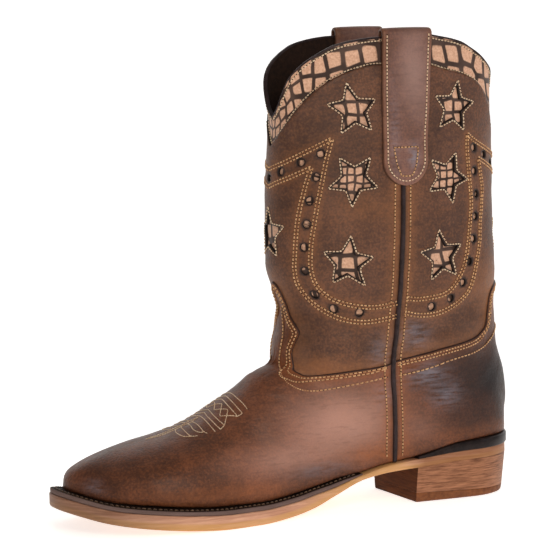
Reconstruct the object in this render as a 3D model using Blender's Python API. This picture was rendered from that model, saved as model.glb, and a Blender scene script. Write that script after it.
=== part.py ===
"""Western boot for a left foot: a hollow leather upper on a welted sole with a stacked heel.

Sizes are in millimetres in the last's own frame: x is 0 at the back of the sole and the toe lies
along -x, the outer side of the foot lies along -y, and the floor is z = 0. The finished pieces are
centred over the floor and turned to metres when their meshes are made.
"""
import math

import bpy
import numpy as np
from mathutils.geometry import delaunay_2d_cdt

MM = 0.001
SEAT_GAP = 0.3  # clearance between pieces that rest on each other

# Driving dimensions
SOLE_LENGTH = 283.5
FOOT_LENGTH = 275.6
HEEL_BREAST = 70.0  # from the back of the sole to the front face of the heel
WELT_START = 106.0  # from the back of the sole to the ends of the welt in the waist
TREAD = (175.0, 195.0)  # flat of the forefoot, from the back of the sole
HEEL_ROUND = 31.0  # length of the rounded back of the sole
TOE_ROUND = 52.0  # length of the rounded toe of the sole
TOE_POWER = 2.15  # 2 is an elliptical toe, more is squarer
LINING_DEPTH = 3.2  # inside of the wall, measured inward from the outer leather
PANEL_THICK = 1.2  # outer leather of the shaft
BACKING_DEPTH = 1.8  # face of the backing that shows through the stars
EDGE_RISE = 1.0  # how far the vamp and counter edges stand above the shaft leather
EDGE_FADE = 14.0  # length over which that rise dies away below the edge
ANKLE_BLEND = 4.0  # size of the crease where the shaft meets the instep
SIDE_BLEND = 12.0  # how much softer that crease is at the sides of the ankle
SIDE_REACH = 24.0  # distance from the middle line at which it is softest
SIDE_START = 25.0  # length ahead of the heel breast over which it softens
SIDE_LOW = (28.0, 48.0)  # heights between which it softens, upwards
SIDE_HIGH = (65.0, 80.0)  # heights between which it tightens again
WELT_WIDTH = 15.0
WELT_INSET = 0.6
RAND_PROUD = 1.0
TOP_LIFT_BACK = 3.7  # thickness of the worn lift at the back of the heel
TOP_LIFT_FRONT = 5.6  # and at the breast
HEEL_TAPER = 0.89  # width of the heel's foot against its top
HEEL_BACK_LEAN = 2.5
INSOLE_THICK = 3.0
PIPING_WIDTH = 3.0
PIPING_THICK = 1.8
PIPING_TOP = 184.0
STRAP_THICK = 1.7
STRAP_END = 186.0  # lowest point of the strap outside
STRAP_INSIDE_END = 236.0
STRAP_FOLD = 272.4  # height at which the lateral strap turns over the collar
STRAP_END_ROUND = 14.0
STAR_RADIUS = 13.2
STAR_WAIST = 0.46  # inner radius of a star against its outer one

# Sole: distance from the heel, half widths, and heights of its layers
SOLE_COLUMNS = ("from_heel", "lateral", "medial", "underside", "outsole", "welt", "margin")
SOLE_ROWS = (
    (0.0, 31.5, 31.0, 24.0, 5.3, 6.0, 2.0),
    (40.0, 32.0, 31.5, 23.0, 5.5, 5.2, 2.0),
    (70.0, 31.2, 29.8, 20.9, 5.1, 1.3, 2.0),
    (88.0, 31.2, 28.4, 19.7, 4.4, 0.0, 2.6),
    (105.0, 32.5, 28.0, 17.2, 3.2, 0.7, 3.2),
    (125.0, 34.8, 29.2, 9.8, 5.0, 3.0, 4.0),
    (140.0, 37.6, 31.4, 4.4, 7.6, 3.2, 4.6),
    (155.0, 41.2, 35.2, 1.6, 8.0, 3.3, 5.0),
    (175.0, 45.4, 41.0, 0.0, 8.2, 3.3, 5.3),
    (195.0, 48.6, 46.2, 0.0, 8.4, 3.2, 5.5),
    (215.0, 49.5, 48.5, 1.2, 8.5, 3.0, 5.6),
    (238.0, 46.6, 46.6, 3.6, 8.4, 3.0, 5.8),
    (260.0, 41.2, 41.6, 6.8, 7.9, 3.2, 6.0),
    (283.5, 35.0, 36.0, 13.4, 7.8, 3.7, 6.0),
)

# Leg of the boot: level sections, front and back on the centre line, half width and squareness
LEG_COLUMNS = ("height", "front", "back", "half_width", "power")
LEG_ROWS = (
    (20.0, -98.0, -3.5, 30.5, 2.15),
    (34.0, -102.0, -1.5, 31.5, 2.15),
    (45.0, -109.0, 0.6, 32.5, 2.15),
    (57.0, -120.0, 2.4, 33.0, 2.15),
    (72.0, -136.0, 1.0, 33.5, 2.15),
    (84.0, -144.0, -2.2, 34.0, 2.15),
    (92.0, -145.4, -3.9, 34.3, 2.15),
    (108.0, -142.0, -4.9, 35.0, 2.15),
    (116.0, -140.8, -5.2, 35.5, 2.15),
    (128.0, -144.4, -4.4, 36.5, 2.15),
    (143.0, -148.0, -4.2, 37.0, 2.15),
    (164.0, -147.8, -4.8, 37.0, 2.15),
    (206.0, -145.5, -4.5, 36.0, 2.15),
    (225.0, -145.0, -4.0, 35.2, 2.25),
    (245.0, -147.5, -3.6, 34.2, 2.50),
    (275.0, -151.0, -3.4, 33.0, 2.70),
)

# Foot of the boot: upright sections, height of the ridge and roundness of the arch
FOOT_COLUMNS = ("place", "ridge", "arch_power")
FOOT_ROWS = (
    (-277.0, 24.0, 2.50),
    (-274.0, 32.0, 2.50),
    (-267.0, 36.8, 2.50),
    (-252.0, 41.9, 2.50),
    (-232.0, 46.2, 2.50),
    (-213.0, 50.1, 2.35),
    (-199.0, 55.3, 2.25),
    (-188.0, 60.9, 2.15),
    (-177.0, 67.4, 2.10),
    (-168.0, 73.2, 2.10),
    (-157.0, 80.8, 2.10),
    (-140.0, 85.5, 2.10),
    (-40.0, 85.0, 2.10),
    (-14.0, 81.0, 2.10),
    (-4.0, 62.0, 2.10),
    (0.0, 42.0, 2.10),
)
FOOT_POWER = 2.3
TUCK_DEPTH = 0.05  # how much the upper draws in towards the welt
TUCK_HEIGHT = 0.22
FEATHER_DROP = 1.0
FOOT_STEEP = 10.0  # least slope scale of the foot's form, so that its thin end can't swell the counter

# Upper edge of vamp and counter: arc from the front line, height
EDGE_COLUMNS = ("arc", "vamp_edge")
EDGE_ROWS = (
    (0.0, 132.0), (5.0, 129.0), (9.0, 121.0), (13.5, 111.5), (17.0, 104.0), (20.0, 86.0),
    (25.0, 81.0), (37.0, 78.5), (49.0, 79.2), (61.0, 80.8), (82.0, 84.0), (105.0, 88.0),
    (125.0, 91.8), (138.0, 95.5), (147.0, 102.5), (156.0, 110.0), (176.0, 115.8),
)
EDGE_RING = 100.0  # height of the ring along which these arcs are measured

# Shaped top of the shaft leather and of the collar: arc from the front line, heights
TOP_COLUMNS = ("arc", "panel_top", "collar")
TOP_ROWS = (
    (0.0, 210.0, 227.0),
    (6.5, 215.5, 232.0),
    (13.0, 222.0, 239.8),
    (20.0, 229.5, 249.2),
    (28.0, 236.8, 256.2),
    (37.5, 244.0, 262.2),
    (47.0, 249.2, 266.8),
    (57.0, 252.8, 269.2),
    (70.5, 255.4, 270.8),
    (104.0, 254.2, 271.8),
    (112.0, 251.8, 270.6),
    (124.5, 248.8, 267.6),
    (134.5, 244.6, 262.4),
    (142.0, 238.4, 258.2),
    (148.0, 230.8, 254.4),
    (155.0, 220.0, 250.0),
    (161.0, 213.0, 244.4),
    (172.0, 208.0, 231.0),
)
TOP_RING = 240.0
MEDIAL_RISE = 1.2  # the collar is this much higher on the inner side of the leg

# Side seam and pull strap: their place along the boot at each height
SEAM_COLUMNS = ("height", "place")
SEAM_ROWS = (
    (20.0, -83.0), (53.0, -84.0), (83.0, -86.0), (101.0, -84.0), (121.0, -82.0), (187.0, -78.5),
    (272.0, -75.0),
)
STRAP_COLUMNS = ("height", "middle", "half_width")
STRAP_ROWS = ((186.0, -77.0, 14.0), (205.0, -76.8, 14.0), (240.0, -75.0, 15.2), (272.0, -73.0, 16.0))

# Cut-outs of the shaft leather: panel, arc from its middle line, height, turn in degrees
STAR_ROWS = (
    ("front", 0.0, 160.0, 0.0),
    ("front", 54.7, 230.2, 4.0),
    ("front", 54.5, 190.6, 179.0),
    ("front", 51.5, 143.4, -8.0),
    ("back", 0.0, 157.0, 0.0),
    ("back", 55.0, 229.6, 8.0),
    ("back", 60.6, 189.4, 169.0),
    ("back", 66.4, 144.0, -6.0),
)

# How finely the forms are divided
AROUND = 56
SEAM_STOPS = (102.0, 120.0, 150.0, 187.0, 220.0, 254.5)
FOOT_STEPS = 12
LOW_CROWD = 1.35  # sections are closer together near the welt and the ankle than near the collar
SHAFT_STEPS = 12
INSIDE_STEPS = 14
SOLE_STEPS = 40
BAND_STEPS = 72
STATION_APART = 1.5
TAU = 2.0 * math.pi


def column(rows, names, wanted):
    """Monotone cubic through one column of a table, against the table's first column."""
    table = np.array(rows, float)
    xs = table[:, 0]
    ys = table[:, names.index(wanted)]
    step = np.diff(xs)
    slope = np.diff(ys) / step
    tangent = np.empty_like(ys)
    tangent[0] = slope[0]
    tangent[-1] = slope[-1]
    for k in range(1, len(xs) - 1):
        before, after = slope[k - 1], slope[k]
        wide, narrow = 2 * step[k] + step[k - 1], step[k] + 2 * step[k - 1]
        same_way = before * after > 0
        tangent[k] = (wide + narrow) / (wide / before + narrow / after) if same_way else 0.0

    def value(x):
        x = np.clip(x, xs[0], xs[-1])
        k = np.clip(np.searchsorted(xs, x) - 1, 0, len(step) - 1)
        t = (x - xs[k]) / step[k]
        rise = t * t * (3 - 2 * t)
        bend = step[k] * t * (1 - t) * (tangent[k] * (1 - t) - tangent[k + 1] * t)
        return ys[k] * (1 - rise) + ys[k + 1] * rise + bend

    return value


sole_lateral = column(SOLE_ROWS, SOLE_COLUMNS, "lateral")
sole_medial = column(SOLE_ROWS, SOLE_COLUMNS, "medial")
sole_underside = column(SOLE_ROWS, SOLE_COLUMNS, "underside")
outsole_thick = column(SOLE_ROWS, SOLE_COLUMNS, "outsole")
welt_thick = column(SOLE_ROWS, SOLE_COLUMNS, "welt")
upper_margin = column(SOLE_ROWS, SOLE_COLUMNS, "margin")
leg_front = column(LEG_ROWS, LEG_COLUMNS, "front")
leg_back = column(LEG_ROWS, LEG_COLUMNS, "back")
leg_half = column(LEG_ROWS, LEG_COLUMNS, "half_width")
leg_power = column(LEG_ROWS, LEG_COLUMNS, "power")
foot_ridge = column(FOOT_ROWS, FOOT_COLUMNS, "ridge")
foot_arch = column(FOOT_ROWS, FOOT_COLUMNS, "arch_power")
vamp_edge = column(EDGE_ROWS, EDGE_COLUMNS, "vamp_edge")
panel_top = column(TOP_ROWS, TOP_COLUMNS, "panel_top")
collar_height = column(TOP_ROWS, TOP_COLUMNS, "collar")
seam_place = column(SEAM_ROWS, SEAM_COLUMNS, "place")
strap_middle = column(STRAP_ROWS, STRAP_COLUMNS, "middle")
strap_half = column(STRAP_ROWS, STRAP_COLUMNS, "half_width")


# Shape of the last

def round_ends(from_heel, length, heel_round, toe_round):
    """Factor that closes a half width at the heel and the toe."""
    heel = np.clip((heel_round - from_heel) / heel_round, 0, 1)
    toe = np.clip((from_heel - (length - toe_round)) / toe_round, 0, 1)
    return np.sqrt(1 - heel**2) * (1 - toe**TOE_POWER) ** (1 / TOE_POWER)


def sole_half(from_heel, side):
    body = sole_lateral(from_heel) if side < 0 else sole_medial(from_heel)
    return body * round_ends(from_heel, SOLE_LENGTH, HEEL_ROUND, TOE_ROUND)


def outsole_top(from_heel):
    return sole_underside(from_heel) + outsole_thick(from_heel)


def welt_top(from_heel):
    return outsole_top(from_heel) + SEAT_GAP + welt_thick(from_heel)


def feather_height(from_heel):
    """Height of the upper's lower edge, just above welt and rand."""
    return welt_top(from_heel) + SEAT_GAP


def foot_half(x, side):
    from_heel = np.clip(-x / FOOT_LENGTH, 0, 1) * SOLE_LENGTH
    body = sole_lateral(from_heel) if side < 0 else sole_medial(from_heel)
    return (body - upper_margin(from_heel)) * round_ends(-x, FOOT_LENGTH, HEEL_ROUND, TOE_ROUND)


def foot_field(x, y, z):
    """Below zero inside the arch of the foot, about a distance outside it."""
    half = np.maximum(np.where(y < 0, foot_half(x, -1), foot_half(x, 1)), 0.5)
    base = feather_height(-x) - FEATHER_DROP
    rise = np.maximum(foot_ridge(x) - base, 0.5)
    level = np.clip((z - base) / rise, 0, 2)
    tuck = 1 - TUCK_DEPTH * np.clip(1 - level / TUCK_HEIGHT, 0, 1) ** 2
    reach = (np.abs(y) / (half * tuck)) ** FOOT_POWER + level ** foot_arch(x)
    return (reach ** (1 / FOOT_POWER) - 1) * np.maximum(np.minimum(half, rise), FOOT_STEEP)


def leg_field(x, y, z):
    front, back = leg_front(z), leg_back(z)
    along = np.abs((x - (front + back) / 2) / ((back - front) / 2))
    across = np.abs(y / leg_half(z))
    power = leg_power(z)
    reach = (along**power + across**power) ** (1 / power)
    return (reach - 1) * leg_half(z)


FAR_OUTSIDE = 50.0


def blend_size(x, y, z):
    """Crease that is tight over the instep and dies away into the sides of the ankle."""
    beside = np.clip(np.abs(y) / SIDE_REACH, 0, 1)
    ahead = np.clip((-HEEL_BREAST - x) / SIDE_START, 0, 1)
    mid_height = np.interp(z, (*SIDE_LOW, *SIDE_HIGH), (0.0, 1.0, 1.0, 0.0))
    return ANKLE_BLEND + SIDE_BLEND * beside * ahead * mid_height


def upper_field(x, y, z):
    """Foot and leg joined by a soft crease."""
    on_foot = (x > -FOOT_LENGTH) & (x < 0)
    foot = np.where(on_foot, foot_field(np.clip(x, -FOOT_LENGTH, 0), y, z), FAR_OUTSIDE)
    leg = leg_field(x, y, z)
    blend = blend_size(x, y, z)
    share = np.clip(0.5 + 0.5 * (leg - foot) / blend, 0, 1)
    return leg * (1 - share) + foot * share - blend * share * (1 - share)


def centre_line_extents():
    """Front and back of the upper on the centre line at each height."""
    heights = np.arange(8.0, 290.0, 1.0)
    places = np.arange(-SOLE_LENGTH, 8.0, 0.5)
    xs, zs = np.meshgrid(places, heights)
    inside = upper_field(xs, 0 * xs, zs) < 0
    front = places[inside.argmax(axis=1)]
    back = places[len(places) - 1 - inside[:, ::-1].argmax(axis=1)]
    return heights, front, back


HEIGHTS, FRONTS, BACKS = centre_line_extents()
RAY_ROUND = 30.0  # rays fan out over this radius at the toe and the heel
RAY_LENGTH = 90.0


def surface(theta, z):
    """Outer leather in the level section at height z.

    The ray theta is 0 at the heel and pi at the toe, and passes the lateral side first.
    """
    theta, z = np.broadcast_arrays(np.asarray(theta, float), np.asarray(z, float))
    front, back = np.interp(z, HEIGHTS, FRONTS), np.interp(z, HEIGHTS, BACKS)
    along, across = np.cos(theta), -np.sin(theta)
    start = (front + back) / 2 + np.maximum((back - front) / 2 - RAY_ROUND, 0) * along
    near, far = np.zeros_like(start), np.full_like(start, RAY_LENGTH)
    for _ in range(32):
        middle = (near + far) / 2
        inside = upper_field(start + along * middle, across * middle, z) < 0
        near, far = np.where(inside, middle, near), np.where(inside, far, middle)
    return np.stack([start + along * near, across * near, z], axis=-1)


def outward(points):
    """Unit normals of the upper at points on it."""
    probe = 0.4
    slopes = []
    for axis in np.eye(3) * probe:
        ahead, behind = points + axis, points - axis
        slopes.append(upper_field(*np.moveaxis(ahead, -1, 0)) - upper_field(*np.moveaxis(behind, -1, 0)))
    normal = np.stack(slopes, axis=-1)
    return normal / np.linalg.norm(normal, axis=-1, keepdims=True)


def skin(theta, z, offset):
    """Point at a distance outside (or, below zero, inside) the outer leather."""
    points = surface(theta, z)
    return points + outward(points) * np.asarray(offset, float)[..., None]


class RingArcs:
    """Distance round the upper from its front line, kept at evenly spaced heights."""

    def __init__(self, low=70.0, high=280.0, step=5.0, divisions=240):
        self.low, self.step = low, step
        self.heights = np.arange(low, high + step / 2, step)
        self.theta = np.linspace(0, TAU, divisions + 1)
        ring = surface(self.theta[None, :], self.heights[:, None])
        lengths = np.linalg.norm(np.diff(ring, axis=1), axis=2)
        walked = np.concatenate([np.zeros((len(ring), 1)), np.cumsum(lengths, axis=1)], axis=1)
        self.front = walked[:, divisions // 2]
        self.whole = walked[:, -1]
        self.arc = self.front[:, None] - walked

    def between_levels(self, z, read):
        """Reading at height z, blended from the two nearest kept heights."""
        place = np.clip((z - self.low) / self.step, 0, len(self.heights) - 1.001)
        level = place.astype(int)
        found = np.empty((2,) + z.shape)
        for above in (0, 1):
            for k in np.unique(level):
                here = level == k
                found[above][here] = read(k + above, here)
        share = place - level
        return found[0] * (1 - share) + found[1] * share

    def theta_at(self, arc, z):
        """Ray that meets the ring at height z after this arc; lateral arcs are above zero."""
        arc, z = np.broadcast_arrays(np.asarray(arc, float), np.asarray(z, float))
        return self.between_levels(z, lambda k, here: np.interp(-arc[here], -self.arc[k], self.theta))

    def arc_of(self, theta, z):
        theta, z = np.broadcast_arrays(np.asarray(theta, float), np.asarray(z, float))
        return self.between_levels(z, lambda k, here: np.interp(theta[here], self.theta, self.arc[k]))

    def reach(self, z, side):
        """Arc from the front line to the back line on one side of the boot."""
        lateral = np.interp(z, self.heights, self.front)
        return lateral if side < 0 else np.interp(z, self.heights, self.whole) - lateral


ARCS = RingArcs()


def front_arc(theta, ring, half_way):
    """Arc from the front line along one ring, alike on both sides and half_way at the back line."""
    return ARCS.arc_of(np.minimum(theta, TAU - theta), ring) / ARCS.reach(ring, -1) * half_way


def edge_at(theta):
    """Height of the vamp's and counter's upper edge."""
    return vamp_edge(front_arc(theta, EDGE_RING, EDGE_ROWS[-1][0]))


def panel_top_at(theta):
    return panel_top(front_arc(theta, TOP_RING, TOP_ROWS[-1][0]))


def collar_at(theta):
    inner_side = np.where(theta > math.pi, np.sin(theta) ** 2, 0.0)
    return collar_height(front_arc(theta, TOP_RING, TOP_ROWS[-1][0])) + MEDIAL_RISE * inner_side


def theta_at_place(x, z, side):
    """Ray that meets the side of the upper at this place along the boot."""
    x, z = np.broadcast_arrays(np.asarray(x, float), np.asarray(z, float))
    near, far = np.full(x.shape, 0.05 * math.pi), np.full(x.shape, 0.95 * math.pi)
    for _ in range(26):
        middle = (near + far) / 2
        behind = surface(middle, z)[..., 0] > x
        near, far = np.where(behind, middle, near), np.where(behind, far, middle)
    return near if side < 0 else TAU - near


# Meshes

PIECES = {}  # name: vertices in millimetres, faces, finish


def keep(name, points, faces, finish):
    points = np.asarray(points, float).reshape(-1, 3)
    PIECES[name] = (points, [tuple(int(i) for i in face) for face in faces], finish)


def loop_of_rings(rings):
    """Closed skin through rings of equal count; the last ring joins the first."""
    count = len(rings[0])
    faces = []
    for r in range(len(rings)):
        here, there = r * count, (r + 1) % len(rings) * count
        for k in range(count):
            after = (k + 1) % count
            faces.append((here + k, here + after, there + after, there + k))
    return np.concatenate(rings), faces


def strip_solid(sections):
    """Bar through cross sections of equal count, closed by its two end faces."""
    count = len(sections[0])
    faces = []
    for s in range(len(sections) - 1):
        here, there = s * count, (s + 1) * count
        for k in range(count):
            after = (k + 1) % count
            faces.append((here + k, here + after, there + after, there + k))
    last = (len(sections) - 1) * count
    faces.append(tuple(range(count))[::-1])
    faces.append(tuple(last + k for k in range(count)))
    return np.concatenate(sections), faces


def slab(lower, upper):
    """Slab between two loops that run from the heel along one side to the toe and back along the other."""
    count = len(lower)
    half = count // 2
    faces = []
    for k in range(count):
        after = (k + 1) % count
        faces.append((k, after, count + after, count + k))
    for k in range(half):
        left, right = (k, k + 1), ((count - k) % count, (count - k - 1) % count)
        loop = list(dict.fromkeys((left[0], right[0], right[1], left[1])))
        faces.append(tuple(loop))
        faces.append(tuple(count + i for i in loop[::-1]))
    return np.concatenate([lower, upper]), faces


def two_sided(triangles, outer, inner):
    """Shell from a flat triangulation laid at two depths, with a rim along its free edges."""
    count = len(outer)
    faces = []
    edges = {}
    for a, b, c in triangles:
        faces.append((a, b, c))
        faces.append((count + c, count + b, count + a))
        for start, end in ((a, b), (b, c), (c, a)):
            edges[(start, end)] = True
    for start, end in edges:
        if (end, start) not in edges:
            faces.append((end, start, count + start, count + end))
    return np.concatenate([outer, inner]), faces


# Sole, welt, rand and heel

def sole_stations(steps, exact):
    """Distances from the heel, closer together towards both ends, with some exact ones among them."""
    even = SOLE_LENGTH * (1 - np.cos(np.linspace(0, math.pi, steps + 1))) / 2
    exact = np.array(exact)
    apart = np.abs(even[:, None] - exact).min(axis=1) > STATION_APART
    return np.sort(np.concatenate([even[apart], exact]))


def outline_loop(from_heel, shrink=0.0):
    """Sole outline from the heel along the lateral side to the toe and back along the medial side."""
    lateral = np.stack([-from_heel, -sole_half(from_heel, -1)], axis=1)
    medial = np.stack([-from_heel, sole_half(from_heel, 1)], axis=1)[-2:0:-1]
    loop = np.concatenate([lateral, medial])
    along = np.roll(loop, -1, axis=0) - np.roll(loop, 1, axis=0)
    along /= np.linalg.norm(along, axis=1, keepdims=True)
    inward = np.stack([along[:, 1], -along[:, 0]], axis=1)
    return loop + inward * shrink, np.concatenate([from_heel, from_heel[-2:0:-1]])


def raised(loop, heights):
    return np.concatenate([loop, np.asarray(heights, float)[:, None]], axis=1)


def make_outsole():
    loop, from_heel = outline_loop(sole_stations(SOLE_STEPS, TREAD))
    lower = raised(loop, sole_underside(from_heel))
    upper = raised(loop, outsole_top(from_heel))
    keep("outsole", *slab(lower, upper), "sole_leather")


def edge_band(name, start, end, shrink, finish):
    """Strip on the edge of the sole, between two distances from the heel on both sides of the boot."""
    ends = [place for place in (start, end) if 0 < place < SOLE_LENGTH]
    stations = sole_stations(BAND_STEPS, ends)
    loop, from_heel = outline_loop(stations, shrink)
    inner, _ = outline_loop(stations, WELT_WIDTH)
    if start > 0:
        order = np.arange(len(loop))
    else:
        order = np.roll(np.arange(len(loop)), len(loop) // 2)
    chosen = [k for k in order if start <= from_heel[k] <= end]
    sections = []
    for k in chosen:
        outer_at, inner_at = np.maximum(-loop[k, 0], 0), np.maximum(-inner[k, 0], 0)
        corners = (
            (*loop[k], outsole_top(outer_at) + SEAT_GAP),
            (*loop[k], welt_top(outer_at)),
            (*inner[k], welt_top(inner_at)),
            (*inner[k], outsole_top(inner_at) + SEAT_GAP),
        )
        sections.append(np.array(corners))
    keep(name, *strip_solid(sections), finish)


def heel_outline(level, steps=14):
    """Plan of the heel from its breast round the back to the breast.

    The level is 0 at the floor and 1 at the sole.
    """
    turn = np.linspace(0, math.pi / 2, steps + 1)
    from_heel = HEEL_BREAST * (1 - np.cos(turn))
    width = HEEL_TAPER + (1 - HEEL_TAPER) * level
    lean = HEEL_BACK_LEAN * (1 - level)
    place = -(lean + from_heel * (HEEL_BREAST - lean) / HEEL_BREAST)
    lateral = np.stack([place, -sole_half(from_heel, -1) * width], axis=1)
    medial = np.stack([place, sole_half(from_heel, 1) * width], axis=1)
    return np.concatenate([lateral[::-1], medial[1:]]), np.concatenate([from_heel[::-1], from_heel[1:]])


def heel_block(name, low, high, finish, levels=(0.0, 1.0)):
    """Part of the heel between two heights, each a number or a function of the distance from the heel."""
    sections = []
    for level, height in zip(levels, (low, high)):
        loop, from_heel = heel_outline(level)
        heights = height(from_heel) if callable(height) else np.full(len(loop), height)
        sections.append(raised(loop, heights))
    count = len(sections[0])
    half = count // 2
    faces = []
    for k in range(count):
        after = (k + 1) % count
        faces.append((k, after, count + after, count + k))
    for k in range(half):
        left, right = (k, k + 1), (count - 1 - k, count - 2 - k)
        loop = list(dict.fromkeys((left[0], right[0], right[1], left[1])))
        faces.append(tuple(loop))
        faces.append(tuple(count + i for i in loop[::-1]))
    keep(name, np.concatenate(sections), faces, finish)


def make_heel():
    lift_level = TOP_LIFT_FRONT / sole_underside(0.0)

    def lift_top(from_heel):
        return np.interp(from_heel, (0.0, HEEL_BREAST), (TOP_LIFT_BACK, TOP_LIFT_FRONT))

    def stack_bottom(from_heel):
        return lift_top(from_heel) + SEAT_GAP

    def stack_top(from_heel):
        return sole_underside(from_heel) - SEAT_GAP

    heel_block("heel_top_lift", 0.0, lift_top, "lift_rubber", (0.0, lift_level))
    heel_block("heel_stack", stack_bottom, stack_top, "heel_leather", (lift_level, 1.0))


# Upper, insole and the leather laid over the shaft

def feather_of(theta):
    """Height of the upper's lower edge on each ray."""
    z = np.full_like(theta, float(feather_height(HEEL_BREAST)))
    for _ in range(8):
        z = (z + feather_height(-surface(theta, z)[..., 0])) / 2
    return z


def spaced_heights(theta, low, high, steps, crowd=1.0):
    """Heights on each ray that are evenly spaced along the leather, or crowded towards its lower end."""
    fine = np.linspace(0, 1, 120)[:, None]
    heights = low + (high - low) * fine
    path = surface(np.broadcast_to(theta, heights.shape), heights)
    walked = np.cumsum(np.linalg.norm(np.diff(path, axis=0), axis=2), axis=0)
    walked = np.concatenate([np.zeros((1, len(theta))), walked]) / walked[-1]
    wanted = np.linspace(0, 1, steps + 1) ** crowd
    return np.stack([np.interp(wanted, walked[:, k], heights[:, k]) for k in range(len(theta))], axis=1)


def shaft_heights(theta):
    """Heights of the shaft's sections on each ray, from the vamp and counter edges to the collar."""
    return spaced_heights(theta, edge_at(theta), collar_at(theta), SHAFT_STEPS, LOW_CROWD)


def edge_rise(below_edge):
    """How far the vamp and counter stand out at a distance below their edge."""
    return EDGE_RISE * np.clip(1 - below_edge / EDGE_FADE, 0, 1)


def make_upper():
    """One wall: full leather up to the vamp and counter edges, a step, then the backing of the shaft."""
    theta = np.arange(AROUND) * TAU / AROUND
    low = feather_of(theta)
    edge = edge_at(theta)
    rings = []
    for z in spaced_heights(theta, low, edge, FOOT_STEPS, LOW_CROWD):
        rings.append(skin(theta, z, edge_rise(edge - z)))
    for z in shaft_heights(theta):
        rings.append(skin(theta, z, np.full(AROUND, -BACKING_DEPTH)))
    for z in spaced_heights(theta, low, collar_at(theta), INSIDE_STEPS, LOW_CROWD)[::-1]:
        rings.append(skin(theta, z, np.full(AROUND, -LINING_DEPTH)))
    keep("upper", *loop_of_rings(rings), "vamp_leather")


def make_insole():
    theta = np.arange(AROUND) * TAU / AROUND
    low = feather_of(theta)
    clear = -(LINING_DEPTH + 3 * SEAT_GAP)
    rim = skin(theta, low, np.full(AROUND, clear))
    lower, upper = rim.copy(), rim.copy()
    lower[:, 2] = feather_height(-rim[:, 0]) + SEAT_GAP
    upper[:, 2] = lower[:, 2] + INSOLE_THICK
    keep("insole", *slab(lower, upper), "lining_leather")


def star(turn):
    """Ten corners of a five-pointed star, with a tip up when turn is 0."""
    angle = math.radians(90 + turn) + np.arange(10) * math.pi / 5
    reach = np.where(np.arange(10) % 2 == 0, STAR_RADIUS, STAR_RADIUS * STAR_WAIST)
    return np.stack([np.cos(angle), np.sin(angle)], axis=1) * reach[:, None]


def panel_stars(panel):
    """Outlines of the stars of one panel, in arc from its middle line and height."""
    outlines = []
    for where, arc, height, turn in STAR_ROWS:
        for side in ((1,) if arc == 0.0 else (1, -1)):
            if where == panel:
                outlines.append(star(turn * side) + (arc * side, height))
    return outlines


def inside_polygon(points, polygon):
    """Even-odd test of points against a closed polygon."""
    x, y = points[:, 0], points[:, 1]
    inside = np.zeros(len(points), bool)
    for (x0, y0), (x1, y1) in zip(polygon, np.roll(polygon, -1, axis=0)):
        if y0 != y1:
            inside ^= ((y0 > y) != (y1 > y)) & (x < (x1 - x0) * (y - y0) / (y1 - y0) + x0)
    return inside


def panel_arc(panel, theta, z, side):
    """Arc from the panel's middle line towards one side of the boot."""
    arc = np.abs(ARCS.arc_of(theta, z))
    return arc if panel == "front" else ARCS.reach(z, side) - arc


def panel_theta(panel, arc, z):
    """Ray at an arc from the panel's middle line; lateral arcs are above zero."""
    if panel == "back":
        arc = np.where(arc < 0, -ARCS.reach(z, 1) - arc, ARCS.reach(z, -1) - arc)
    return ARCS.theta_at(arc, z)


def panel_rays(panel, side):
    """The upper's own rays, from the panel's middle line to the side of the boot."""
    turn = np.arange(AROUND // 4 + 3) * TAU / AROUND
    theta = math.pi - turn if panel == "front" else turn
    return theta if side < 0 else (TAU - theta) % TAU


def stand_off(line, distance):
    """Move a line that runs outward from the middle line towards its upper side."""
    along = np.gradient(line, axis=0)
    along[0] = (1.0, 0.0)
    across = np.stack([-along[:, 1], along[:, 0]], axis=1)
    return line + across / np.linalg.norm(across, axis=1, keepdims=True) * distance


def seam_edge(side):
    """Height at which the side seam crosses the edge of vamp and counter."""
    z = np.array([EDGE_RING])
    for _ in range(6):
        z = edge_at(theta_at_place(seam_place(z), z, side))
    return float(z[0])


def panel_side(panel, side):
    """Half of a panel's edge, and the rays that cross it, in arc from the middle line and height."""
    theta = panel_rays(panel, side)
    clear = PIPING_WIDTH / 2 + 2 * SEAT_GAP
    edge, top = edge_at(theta), panel_top_at(theta)
    low = stand_off(np.stack([panel_arc(panel, theta, edge, side), edge], axis=1), 3 * SEAT_GAP)
    high = np.stack([panel_arc(panel, theta, top, side), top], axis=1)
    seam_heights = np.concatenate([[seam_edge(side) + 2], SEAM_STOPS])
    seam_theta = theta_at_place(seam_place(seam_heights), seam_heights, side)
    seam = np.stack([panel_arc(panel, seam_theta, seam_heights, side) - clear, seam_heights], axis=1)
    rays = []
    for k, (ray, z) in enumerate(zip(theta, shaft_heights(theta).T)):
        z = z[(z > low[k, 1] + 1) & (z < high[k, 1] - 1)]
        across = np.stack([panel_arc(panel, np.full(len(z), ray), z, side), z], axis=1)
        rays.append(np.concatenate([[low[k]], across, [high[k]]]))
    near_seam = 3.0
    low = low[low[:, 0] < seam[0, 0] - near_seam]
    high = high[high[:, 0] < seam[-1, 0] - near_seam]
    return np.concatenate([low, seam, high[::-1]]), rays


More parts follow.
